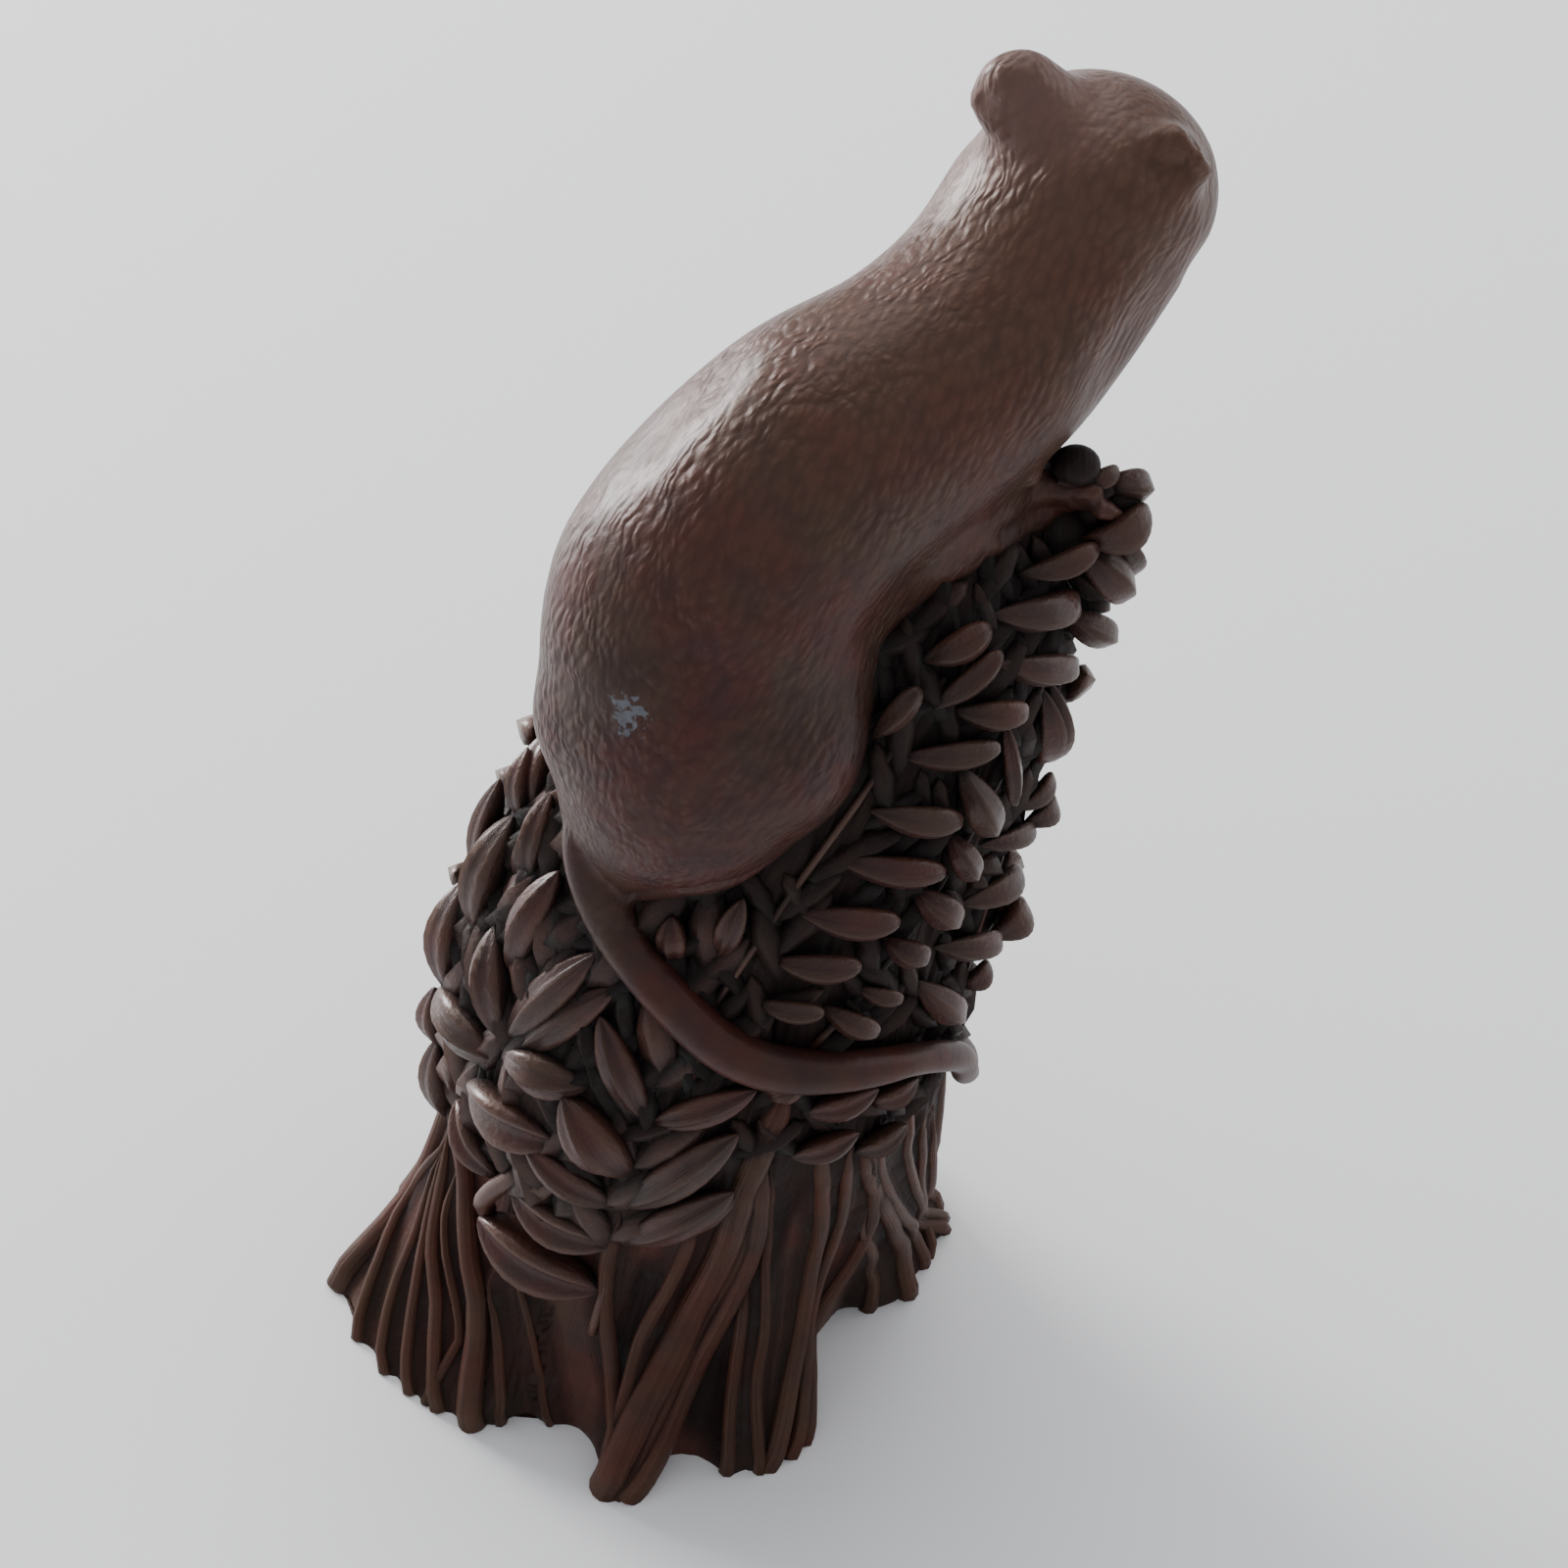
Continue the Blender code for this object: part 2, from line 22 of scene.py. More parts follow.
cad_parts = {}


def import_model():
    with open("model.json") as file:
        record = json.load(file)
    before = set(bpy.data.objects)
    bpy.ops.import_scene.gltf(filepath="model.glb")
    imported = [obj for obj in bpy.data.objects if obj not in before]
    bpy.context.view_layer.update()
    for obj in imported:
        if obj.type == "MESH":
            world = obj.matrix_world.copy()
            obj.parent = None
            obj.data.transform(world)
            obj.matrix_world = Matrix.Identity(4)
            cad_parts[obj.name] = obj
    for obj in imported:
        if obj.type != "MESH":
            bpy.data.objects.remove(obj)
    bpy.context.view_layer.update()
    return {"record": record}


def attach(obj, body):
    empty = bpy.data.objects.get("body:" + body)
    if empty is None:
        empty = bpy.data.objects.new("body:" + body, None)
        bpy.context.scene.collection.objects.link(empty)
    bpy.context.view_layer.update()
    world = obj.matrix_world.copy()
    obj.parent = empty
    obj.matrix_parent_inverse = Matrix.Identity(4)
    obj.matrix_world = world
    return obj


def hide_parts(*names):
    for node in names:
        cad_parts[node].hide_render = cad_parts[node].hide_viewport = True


log = logging.getLogger("mouse_on_wheatsheaf")

Row = Sequence[float]
Pair = tuple[float, float]
Colour = tuple[float, float, float, float]


class Relief(Enum):
    """Fine surface that a piece carries."""

    FUR = "fur"
    STRAW = "straw"
    GRAIN = "grain"


def curve(rows: Sequence[Row], place: float) -> list[float]:
    """Read a smooth curve.

    Args:
        rows: Rows that each hold a place and its values.
        place: Where to read.

    Returns:
        The values there.
    """
    places = [row[0] for row in rows]
    place = min(max(place, places[0]), places[-1])
    index = max(number for number in range(len(rows) - 1) if places[number] <= place)
    step = places[index + 1] - places[index]
    share = (place - places[index]) / step

    def slope(number: int, column: int) -> float:
        """Slope of one value at a row."""
        low, high = max(number - 1, 0), min(number + 1, len(rows) - 1)
        return (rows[high][column] - rows[low][column]) / (places[high] - places[low])

    values = []
    for column in range(1, len(rows[0])):
        start, end = rows[index][column], rows[index + 1][column]
        blend = share * share * (3 - 2 * share)
        rise = share * (1 - share) ** 2 * slope(index, column)
        fall = share * share * (1 - share) * slope(index + 1, column)
        values.append(start + (end - start) * blend + step * (rise - fall))
    return values


def along(rows: Sequence[Row], share: float) -> list[float]:
    """Read the smooth curve through rows at a share of the way, by row number."""
    numbered = [(number, *row) for number, row in enumerate(rows)]
    return curve(numbered, share * (len(rows) - 1))


def sampled(rows: Sequence[Row], count: int) -> list[list[float]]:
    """Read the smooth curve through rows at so many evenly spread places."""
    return [along(rows, index / (count - 1)) for index in range(count)]


def mix(pair: Pair, share: float) -> float:
    """Value between two, at a share of the way."""
    return pair[0] + (pair[1] - pair[0]) * share


def held(share: float) -> float:
    """A share kept between 0 and 1."""
    return min(max(share, 0.0), 1.0)


def signed(angle: float) -> float:
    """An angle brought between -180 and 180 degrees."""
    return (angle + 180.0) % 360.0 - 180.0


def course(points: Sequence[Vector], index: int) -> Vector:
    """Direction of a line of points at one of them."""
    return (points[min(index + 1, len(points) - 1)] - points[max(index - 1, 0)]).normalized()


def close(bm: bmesh.types.BMesh) -> None:
    """Fill the holes of a mesh."""
    edges = [edge for edge in bm.edges if edge.is_boundary]
    bmesh.ops.holes_fill(bm, edges=edges, sides=0)


def places_of(mesh: bpy.types.Mesh) -> np.ndarray:
    """Place of every point of a mesh."""
    places = np.empty(len(mesh.vertices) * 3, dtype=np.float32)
    mesh.vertices.foreach_get("co", places)
    return places.reshape(-1, 3)


def normals_of(mesh: bpy.types.Mesh) -> np.ndarray:
    """Direction off the surface at every point of a mesh."""
    normals = np.empty(len(mesh.vertices) * 3, dtype=np.float32)
    mesh.vertex_normals.foreach_get("vector", normals)
    return normals.reshape(-1, 3)


def ends_of(mesh: bpy.types.Mesh) -> np.ndarray:
    """Numbers of the two points of every edge of a mesh."""
    ends = np.empty(len(mesh.edges) * 2, dtype=np.int64)
    mesh.edges.foreach_get("vertices", ends)
    return ends.reshape(-1, 2)


def push(mesh: bpy.types.Mesh, moves: np.ndarray) -> None:
    """Move every point of a mesh along its normal."""
    places = places_of(mesh)
    places += normals_of(mesh) * moves[:, None]
    mesh.vertices.foreach_set("co", places.ravel())
    mesh.update()


def store(mesh: bpy.types.Mesh, name: str, values: np.ndarray) -> None:
    """Keep one number or one vector for each point of a mesh."""
    kind, key = ("FLOAT", "value") if values.ndim == 1 else ("FLOAT_VECTOR", "vector")
    layer = mesh.attributes.new(name, kind, "POINT")
    layer.data.foreach_set(key, values.astype(np.float32).ravel())


class Form:
    """A mesh in the making, with a layer that tells where each point lies along and across its part, and how
    light its colour is painted, lower where it is painted with shade.
    """

    crest_width = 0.04
    weld = 1e-7

    def __init__(self) -> None:
        """Start empty."""
        self.bm = bmesh.new()
        self.flow = self.bm.verts.layers.float_vector.new("flow")

    def wrap(
        self, sides: int, rings: int, place: Callable[[float, float], Vector], size: Pair,
        tone: Pair = (1.0, 1.0), crest: float = 0.0,
    ) -> None:
        """Bend a grid into a closed round body.

        Args:
            sides: Faces around it.
            rings: Faces along it.
            place: Gives the point at a share around and a share along.
            size: Length around and length along, for the flow layer.
            tone: How light its colour is at the start and at the end: painted shade where it is low.
            crest: How much lighter a thin line halfway around is: a painted highlight along the crest, also
                rubbed light.
        """
        part = bmesh.new()
        flow = part.verts.layers.float_vector.new("flow")
        made = bmesh.ops.create_grid(part, x_segments=sides, y_segments=rings, size=1.0)["verts"]
        for vert in made:
            around, way = (vert.co.x + 1) / 2, (vert.co.y + 1) / 2
            line = crest * math.exp(-(((around - 0.5) / self.crest_width) ** 2))
            vert[flow] = (around * size[0], way * size[1], mix(tone, way) + line)
            vert.co = place(around % 1.0, way)
        bmesh.ops.remove_doubles(part, verts=made, dist=self.weld)
        close(part)
        bmesh.ops.recalc_face_normals(part, faces=part.faces[:])
        mesh = bpy.data.meshes.new("part")
        part.to_mesh(mesh)
        part.free()
        self.bm.from_mesh(mesh)
        bpy.data.meshes.remove(mesh)

    def tube(
        self, points: Sequence[Vector], radii: Sequence[float], sides: int,
        inward: Vector | None = None, tone: Pair = (1.0, 1.0), crest: float = 0.0,
    ) -> None:
        """Round body through points.

        Args:
            points: Middle of each ring.
            radii: Radius of each ring.
            sides: Faces around it.
            inward: Direction that its seam faces, if it matters.
            tone: How light its colour is at the start and at the end: painted shade where it is low.
            crest: How much lighter the line opposite its seam is: a painted highlight along the crest, also
                rubbed light.
        """
        frames = []
        normal = inward
        for index, point in enumerate(points):
            ahead = course(points, index)
            normal = ahead.orthogonal() if normal is None else normal - ahead * normal.dot(ahead)
            normal.normalize()
            frames.append((point, normal.copy(), ahead.cross(normal), radii[index]))

        def place(around: float, way: float) -> Vector:
            """Point on a ring."""
            point, right, up, radius = frames[round(way * (len(frames) - 1))]
            turn = math.tau * around
            return point + radius * (math.cos(turn) * right + math.sin(turn) * up)

        length = sum((after - before).length for before, after in zip(points, points[1:]))
        self.wrap(sides, len(points) - 1, place, (math.tau * max(radii), length), tone, crest)

    def ball(self, matrix: Matrix, halves: Sequence[float], segments: int = 24, tone: float = 1.0) -> None:
        """Ellipsoid under a placing matrix, as light as its tone, which paints shade where it is low."""
        matrix = matrix @ Matrix.Diagonal((*halves, 1.0))
        made = bmesh.ops.create_uvsphere(
            self.bm, u_segments=segments, v_segments=segments * 2 // 3, radius=1.0, matrix=matrix
        )["verts"]
        for vert in made:
            vert[self.flow] = (*vert.co[:2], tone)

    def piece(self, name: str) -> bpy.types.Object:
        """Turn the form into a smoothly shaded object at the origin.

        Args:
            name: Name of the object.

        Returns:
            The object.
        """
        mesh = bpy.data.meshes.new(name)
        self.bm.to_mesh(mesh)
        self.bm.free()
        mesh.shade_smooth()
        item = bpy.data.objects.new(name, mesh)
        bpy.context.collection.objects.link(item)
        return item


def applied(item: bpy.types.Object) -> bpy.types.Object:
    """Make an object's modifiers permanent and return it."""
    evaluated = item.evaluated_get(bpy.context.evaluated_depsgraph_get())
    mesh = bpy.data.meshes.new_from_object(evaluated)
    old = item.data
    item.modifiers.clear()
    item.data = mesh
    bpy.data.meshes.remove(old)
    mesh.name = item.name
    return item


def fused(item: bpy.types.Object, grid: float, passes: int) -> bpy.types.Object:
    """Fuse the overlapping bodies of an object into one smooth skin.

    Args:
        item: Object to fuse.
        grid: Size of its new faces.
        passes: Rounds of smoothing.

    Returns:
        The same object with its new mesh.
    """
    skin = item.modifiers.new("skin", "REMESH")
    skin.mode = "VOXEL"
    skin.voxel_size = grid
    skin.use_smooth_shade = True
    ease = item.modifiers.new("ease", "SMOOTH")
    ease.factor = 0.5
    ease.iterations = passes
    return applied(item)


@dataclass
class Sheaf:
    """Leaning, waisted core of the wheat sheaf on its scalloped foot."""

    foot: Vector
    height: float = 0.095
    lean: Pair = (0.030, 0.012)
    foot_radius: float = 0.0300
    waist: float = 0.0210
    belly: float = 0.0232
    crown: float = 0.0090
    flare: float = 0.022
    inset: float = 0.0011
    rings_turned: float = 0.42
    cap: float = 0.35
    axis: tuple = (
        (0.00, 0.00, 0.00),
        (0.20, 0.16, 0.17),
        (0.43, 0.29, 0.30),
        (0.69, 0.53, 0.53),
        (0.89, 0.82, 0.81),
        (1.00, 1.00, 1.00),
    )
    girth: tuple = (
        (0.00, 1.18, 0.0),
        (0.10, 1.05, 0.0),
        (0.19, 1.00, 0.0),
        (0.30, 0.0, 0.955),
        (0.42, 0.0, 1.00),
        (0.60, 0.0, 0.93),
        (0.75, 0.0, 0.82),
        (0.87, 0.0, 0.69),
        (0.95, 0.0, 0.56),
        (1.00, 0.0, 0.388),
    )
    scallops: tuple = (
        (-180, 1.00), (-165, 0.98), (-157, 0.87), (-149, 0.95), (-135, 0.93), (-120, 0.88), (-104, 0.92),
        (-97, 0.92), (-91, 1.01), (-84, 1.08), (-66, 1.04), (-48, 0.97), (-37, 0.93), (-31, 0.84),
        (-24, 0.80), (-15, 0.81), (-9, 0.91), (-6, 1.01), (-1, 1.04), (3, 1.00), (7, 0.91), (12, 0.91),
        (17, 0.97), (26, 1.03), (36, 1.00), (41, 0.92), (45, 0.79), (56, 0.755), (68, 0.765), (73, 0.80),
        (78, 0.95), (90, 1.03), (98, 1.11), (106, 1.07), (112, 0.91), (119, 0.98), (134, 1.03),
        (148, 0.98), (154, 0.88), (160, 0.96), (180, 1.00),
    )

    # Swellings: angle, height, extra radius, then how far each reaches in angle and in height
    swells: tuple = (
        (-95, 0.15, 0.0022, 32, 0.10),
        (78, 0.26, 0.0014, 24, 0.09),
        (88, 0.15, 0.0042, 24, 0.10),
        (85, 0.86, 0.0014, 40, 0.13),
    )

    # Beds of matted straw: angle, height, thickness, then how far each reaches in angle and in height
    beds: tuple = (
        (-62, 0.46, 0.0016, 34, 0.20),
        (-24, 0.36, 0.0014, 26, 0.14),
        (-86, 0.36, 0.0012, 14, 0.16),
    )
    near: float = 0.005

    def __post_init__(self) -> None:
        """Work out the radius of the core at each height."""
        self.radii = tuple((row[0], row[1] * self.waist + row[2] * self.belly) for row in self.girth)

    def middle(self, height: float) -> Vector:
        """Centre of the sheaf at a height."""
        lean_x, lean_y = curve(self.axis, height)
        return self.foot + Vector((lean_x * self.lean[0], lean_y * self.lean[1], height * self.height))

    def radius(self, angle: float, height: float) -> float:
        """Radius of the core at an angle and a height."""
        radius = curve(self.radii, height)[0]
        flare = held(1.0 - height * self.height / self.flare) ** 2
        angle = signed(angle)
        reach = curve(self.scallops, angle)[0] * self.foot_radius
        radius += (reach - self.inset - self.radii[0][1]) * flare
        for centre, level, extra, turn, rise in self.swells:
            gap = ((angle - centre) / turn) ** 2 + ((height - level) / rise) ** 2
            radius += extra * math.exp(-gap) * (1.0 - flare)
        return radius

    def at(self, angle: float, height: float, lift: float = 0.0) -> Vector:
        """Point of the core's surface, lifted off it."""
        rise = (self.middle(height + self.near) - self.middle(height - self.near)).normalized()
        up = Vector((0, 0, 1)).lerp(rise, held(height / self.rings_turned)).normalized()
        right = Vector((0, 1, 0)).cross(up).normalized()
        back = up.cross(right)
        turn = math.radians(angle)
        reach = self.radius(angle, height) + lift
        return self.middle(height) + reach * (math.sin(turn) * right - math.cos(turn) * back)

    def bed(self, angle: float, height: float) -> float:
        """Thickness of the matted straw on the core."""
        angle = signed(angle)
        return sum(
            extra * math.exp(-(((angle - centre) / turn) ** 4) - ((height - level) / reach) ** 4)
            for centre, level, extra, turn, reach in self.beds
        )

    def outward(self, angle: float, height: float) -> Vector:
        """Direction straight off the core's surface."""
        return (self.at(angle, height, 0.001) - self.at(angle, height)).normalized()


@dataclass
class Rib:
    """Low ridge that runs up the skirt of the sheaf: half its width, and a route of angles and heights."""

    half: float
    route: tuple

    def __post_init__(self) -> None:
        """Turn the route round so that it climbs."""
        self.climb = sorted((height, angle) for angle, height in self.route)
        self.top = self.climb[-1][0]

    def centre(self, height: float) -> float:
        """Angle of the ridge at a height."""
        return curve(self.climb, height)[0]


@dataclass
class Stalks:
    """Core of the sheaf: a skirt of ribbed stalks, the bare panel with its strokes, matted straw above."""

    sheaf: Sheaf
    sides: int = 520
    rings: int = 146
    shown: float = 106.0
    shown_share: float = 0.74
    bottom: float = -0.01
    top: float = 1.02
    shut: float = 0.4

    # Pace of the rings: shares that grow with the way along and with its square
    pace: Pair = (0.55, 0.45)
    rib_least: float = 0.00015
    rib_rise: float = 0.42
    rib_swell: float = 1.15
    rib_spread: float = 0.25
    rib_spread_top: float = 0.16
    rib_room: float = 0.36
    rib_fade: float = 0.03
    rib_window: float = 14.0
    rib_power: float = 1.7
    rib_narrowest: float = 0.00026
    rib_thinned: Pair = (0.45, 0.55)
    flute: float = 0.0008
    flute_reach: float = 0.0015
    tuck: Pair = (0.0005, 0.0015)
    cord: float = 1.30
    cord_sunk: float = 0.60
    # How light the stalks are painted, and the painted highlight, also rubbed light, along the line opposite
    # their seam
    cord_tones: Pair = (0.62, 0.62)
    cord_crest: float = 0.60
    cord_sides: tuple = (8, 14)
    cord_thick: float = 0.0008
    cord_step: float = 0.012
    cord_rings: int = 6
    cord_tip: Pair = (0.15, 5)
    valley: Pair = (0.0014, 0.0028)

    # How light the straw, the valleys between the stalks and the bare panel are: painted shade, darkest on
    # the matted straw and in the valleys
    tones: tuple = (0.12, 0.24, 0.62)

    # Pockets between stalks, pressed in and painted dark as shade: angle, height, how far each reaches in
    # angle and in height, and its depth
    voids: tuple = (
        (21, 0.29, 5.0, 0.11, 0.0009),
        (14, 0.07, 5.0, 0.05, 0.0008),
        (-9, 0.15, 4.0, 0.08, 0.0005),
    )
    straw_from: float = 0.34
    straw_blend: float = 0.06
    straw_slant: float = 0.9
    straw_level: float = 0.6
    straw_depth: float = 0.0004
    straw_width: float = 0.0011
    straw_length: float = 0.0075
    ripple: float = 0.00010
    hidden: tuple = (103.0, 262.0)
    hidden_count: int = 36
    hidden_half: Pair = (0.00045, 0.00080)
    hidden_rise: Pair = (0.26, 0.40)
    hidden_jitter: float = 0.8
    hidden_drift: float = 4.0
    seed: int = 5
    ribs: tuple = (
        (0.00045, ((-84, 0.171), (-89, 0.090), (-80, 0.050), (-73, 0.016), (-70, 0.000))),
        (0.00041, ((-83, 0.149), (-77, 0.104), (-72, 0.059), (-65, 0.021), (-60, 0.000))),
        (0.00044, ((-82, 0.163), (-76, 0.120), (-70, 0.087), (-62, 0.047), (-53, 0.000))),
        (0.00058, ((-83, 0.191), (-76, 0.137), (-70, 0.105), (-59, 0.072), (-46, 0.000))),
        (0.00037, ((-73, 0.177), (-71, 0.139), (-65, 0.114), (-56, 0.090), (-49, 0.066))),
        (0.00088, ((-85, 0.240), (-72, 0.187), (-58, 0.127), (-50, 0.097), (-44, 0.056), (-38, 0.000))),
        (0.00041, ((-49, 0.118), (-41, 0.084), (-35, 0.038), (-33, 0.000))),
        (0.00030, ((-47, 0.157), (-38, 0.124), (-32, 0.084), (-24, 0.018), (-22, 0.000))),
        (0.00067, ((-18, 0.295), (-20, 0.225), (-18, 0.157), (-11, 0.088), (-6, 0.049))),
        (0.00059, ((-1, 0.302), (-3, 0.202), (-6, 0.135), (-6, 0.085), (-6, 0.040))),
        (0.00122, ((11, 0.491), (9, 0.367), (8, 0.236), (3, 0.132), (-2, 0.065), (-5, 0.000))),
        (0.00098, ((12, 0.378), (16, 0.230), (11, 0.125), (5, 0.045), (-1, 0.000))),
        (0.00060, ((11, 0.420), (12, 0.235), (7, 0.130), (1, 0.055), (-3, 0.000))),
        (0.00043, ((14, 0.383), (22, 0.224), (25, 0.137), (24, 0.081), (25, 0.000))),
        (0.00051, ((18, 0.181), (19, 0.108), (19, 0.062), (19, 0.000))),
        (0.00071, ((26, 0.396), (36, 0.229), (37, 0.121), (32, 0.055), (27, 0.000))),
        (0.00055, ((34, 0.382), (42, 0.226), (40, 0.120), (36, 0.035), (32, 0.000))),
        (0.00067, ((41, 0.376), (57, 0.175), (41, 0.050), (36, 0.000))),
        (0.00074, ((39, 0.374), (49, 0.291), (78, 0.094), (81, 0.000))),
        (0.00053, ((52, 0.212), (73, 0.070), (75, 0.000))),
        (0.00058, ((44, 0.368), (55, 0.271), (87, 0.064), (89, 0.000))),
        (0.00050, ((52, 0.434), (62, 0.290), (93, 0.047), (91, 0.000))),
        (0.00050, ((65, 0.334), (75, 0.200), (97, 0.008), (97, 0.000))),
        (0.00049, ((75, 0.278), (85, 0.150), (100, 0.000))),
        (0.00055, ((84, 0.330), (90, 0.200), (99, 0.080), (104, 0.000))),
        (0.00095, ((-97, 0.220), (-96, 0.120), (-90, 0.060), (-84, 0.000))),
        (0.00090, ((-103, 0.200), (-101, 0.110), (-97, 0.050), (-94, 0.000))),
    )
    panel: tuple = ((-36.0, -25.0), (0.020, 0.165))
    panel_cuts: int = 2
    mark_angle: Pair = (-28.0, -33.5)
    mark_heights: Pair = (0.030, 0.150)
    mark_count: int = 9
    mark_size: float = 0.0011
    mark_across: tuple = ((-35, 0.05), (-25, 0.05))
    mark_upward: tuple = ((-30, 0.05), (-30, 0.10))
    stroke_half: float = 0.00015
    stroke_depth: float = 0.00030
    strokes: tuple = (
        ((-0.5, 0.4), (0.5, 0.5), (0.1, -0.5)),
        ((-0.4, -0.5), (0.4, -0.4), (0.3, 0.5)),
        ((-0.5, 0.0), (0.5, 0.1), (0.5, 0.5)),
        ((0.0, -0.5), (-0.1, 0.5), (0.5, 0.4)),
        ((-0.5, 0.5), (-0.4, -0.4), (0.5, -0.2)),
    )
    levels: dict = field(default_factory=dict)

    def spot(self, around: float, way: float) -> Pair:
        """Angle and height of a share around and along, with smaller faces in front and near the foot."""
        turn = 2.0 * around - 1.0
        angle = self.shown * abs(turn) / self.shown_share
        if abs(turn) > self.shown_share:
            angle = mix((self.shown, 180.0), (abs(turn) - self.shown_share) / (1.0 - self.shown_share))
        angle = math.copysign(angle, turn)
        steady, growing = self.pace
        return angle, self.bottom + (self.top - self.bottom) * (steady * way + growing * way * way)

    def build(self) -> bpy.types.Object:
        """Make the core and carve its stalks, strokes and straw.

        Returns:
            The piece, cut flat along the ground.
        """
        form = Form()
        sheaf = self.sheaf
        middle = sheaf.middle(1.0) + Vector((0, 0, sheaf.cap * sheaf.crown))

        def core(around: float, way: float) -> Vector:
            """Point of the core, from under the ground to the top of its crown."""
            angle, height = self.spot(around, way)
            point = sheaf.at(angle, min(height, 1.0))
            return middle.lerp(point, self.shut) if height > 1.0 else point

        form.wrap(self.sides, self.rings, core, (1.0, 1.0))
        self.refine(form)
        form.bm.normal_update()
        ribs = self.all_ribs()
        marks = self.marks()
        reliefs = []
        for vert in form.bm.verts:
            angle, height = self.spot(*vert[form.flow][:2])
            reliefs.append((angle, height, *self.relief(angle, height, ribs, marks)))
        normals = [vert.normal.copy() for vert in form.bm.verts]
        for vert, normal, (angle, height, relief, tone) in zip(form.bm.verts, normals, reliefs):
            vert.co += normal * relief
            vert[form.flow] = (math.radians(angle) * sheaf.waist, height * sheaf.height, tone)
        for rib in ribs:
            self.add_cord(form, rib, ribs, marks)
        geom = form.bm.verts[:] + form.bm.edges[:] + form.bm.faces[:]
        bmesh.ops.bisect_plane(form.bm, geom=geom, plane_co=(0, 0, 0), plane_no=(0, 0, -1), clear_outer=True)
        close(form.bm)
        return form.piece("sheaf_stalks")

    def spread(self, height: float) -> float:
        """How much wider the stalks are at a height than above the skirt."""
        return 1.0 + self.rib_spread * max(0.0, 1.0 - height / self.rib_spread_top)

    def add_cord(self, form: Form, rib: Rib, ribs: Sequence[Rib], marks: Sequence[tuple]) -> None:
        """Lay a round stalk along a rib, partly sunk in the core."""
        length = rib.top + 0.5 * self.rib_fade - self.bottom
        count = max(self.cord_rings, math.ceil(length / self.cord_step))
        points, radii = [], []
        for index in range(count + 1):
            height = self.bottom + self.cord_step * index
            angle = rib.centre(height)
            taper = min(1.0, self.cord_tip[0] + (count - index) / self.cord_tip[1])
            radius = self.cord * self.spread(height) * taper * rib.half
            lift = self.relief(angle, height, ribs, marks)[0] - self.cord_sunk * radius
            points.append(self.sheaf.at(angle, height, lift))
            radii.append(radius)
        inward = -self.sheaf.outward(rib.centre(0.0), 0.0)
        sides = self.cord_sides[rib.half > self.cord_thick]
        form.tube(points, radii, sides, inward, self.cord_tones, self.cord_crest)

    def refine(self, form: Form) -> None:
        """Split the faces of the bare panel, which carries the finest strokes."""
        angles, heights = self.panel
        edges = set()
        for face in form.bm.faces:
            spots = [self.spot(*vert[form.flow][:2]) for vert in face.verts]
            if len(spots) == 4 and all(
                angles[0] < angle < angles[1] and heights[0] < height < heights[1] for angle, height in spots
            ):
                edges.update(face.edges)
        bmesh.ops.subdivide_edges(form.bm, edges=list(edges), cuts=self.panel_cuts, use_grid_fill=True)

    def all_ribs(self) -> list[Rib]:
        """Every rib of the skirt, with the evenly spread ones of the hidden side."""
        rng = random.Random(self.seed)
        ribs = [Rib(half, route) for half, route in self.ribs]
        for index in range(self.hidden_count):
            angle = mix(self.hidden, index / (self.hidden_count - 1))
            angle += rng.uniform(-self.hidden_jitter, self.hidden_jitter)
            rise = rng.uniform(*self.hidden_rise)
            drift = rng.uniform(-self.hidden_drift, self.hidden_drift)
            route = ((angle + drift, rise), (angle + 0.3 * drift, 0.12), (angle, 0.0))
            ribs.append(Rib(mix(self.hidden_half, rng.random()), route))
        return ribs

    def marks(self) -> list[tuple[Vector, Vector]]:
        """Carved strokes on the panel, each from one point to another."""
        lines = []
        across, upward = (
            (self.sheaf.at(*end) - self.sheaf.at(*start)).normalized()
            for start, end in (self.mark_across, self.mark_upward)
        )
        for number in range(self.mark_count):
            share = number / (self.mark_count - 1)
            middle = self.sheaf.at(mix(self.mark_angle, share), mix(self.mark_heights, share))
            points = self.strokes[number % len(self.strokes)]
            spots = [middle + self.mark_size * (x * across + y * upward) for x, y in points]
            lines += list(zip(spots, spots[1:]))
        return lines

    def relief(self, angle: float, height: float, ribs: Sequence[Rib], marks: Sequence[tuple]) -> Pair:
        """How far the surface stands off the core, and how light it is painted, with painted shade in the
        valleys, the pockets and the straw.

        Args:
            angle: Where to read, around.
            height: Where to read, up.
            ribs: Ridges of the skirt.
            marks: Carved strokes.

        Returns:
            The distance, less than nothing in a groove, and the tone, low where shade is painted.
        """
        radius = self.sheaf.radius(angle, height)
        rise, near = 0.0, 1.0
        for centre, wide, crest in self.level(height, ribs):
            gap = abs(signed(angle - centre))
            if gap > self.rib_window:
                continue
            gap = math.radians(gap) * radius
            near = min(near, gap)
            rise = max(rise, crest * math.exp(-((gap / wide) ** self.rib_power)))
        skirt = held((self.straw_from - height) / self.straw_blend)
        result = rise - self.flute * (1.0 - math.exp(-((near / self.flute_reach) ** 2))) * skirt
        result -= self.tuck[0] * max(0.0, 1.0 - height * self.sheaf.height / self.tuck[1]) ** 2
        result += self.sheaf.bed(angle, height)
        across = math.radians(angle) * radius / self.straw_width
        upward = height * self.sheaf.height / self.straw_length
        straw = 1.0 - 2.0 * abs(noise.noise(Vector((across + self.straw_slant * upward, upward, 3.0))))
        result += self.straw_depth * (straw - self.straw_level) * (1.0 - skirt)
        result += self.ripple * noise.noise(Vector((1.6 * across, 0.4 * upward, 9.0))) * skirt
        (left, right), (low, high) = self.panel
        if left < angle < right and low < height < high:
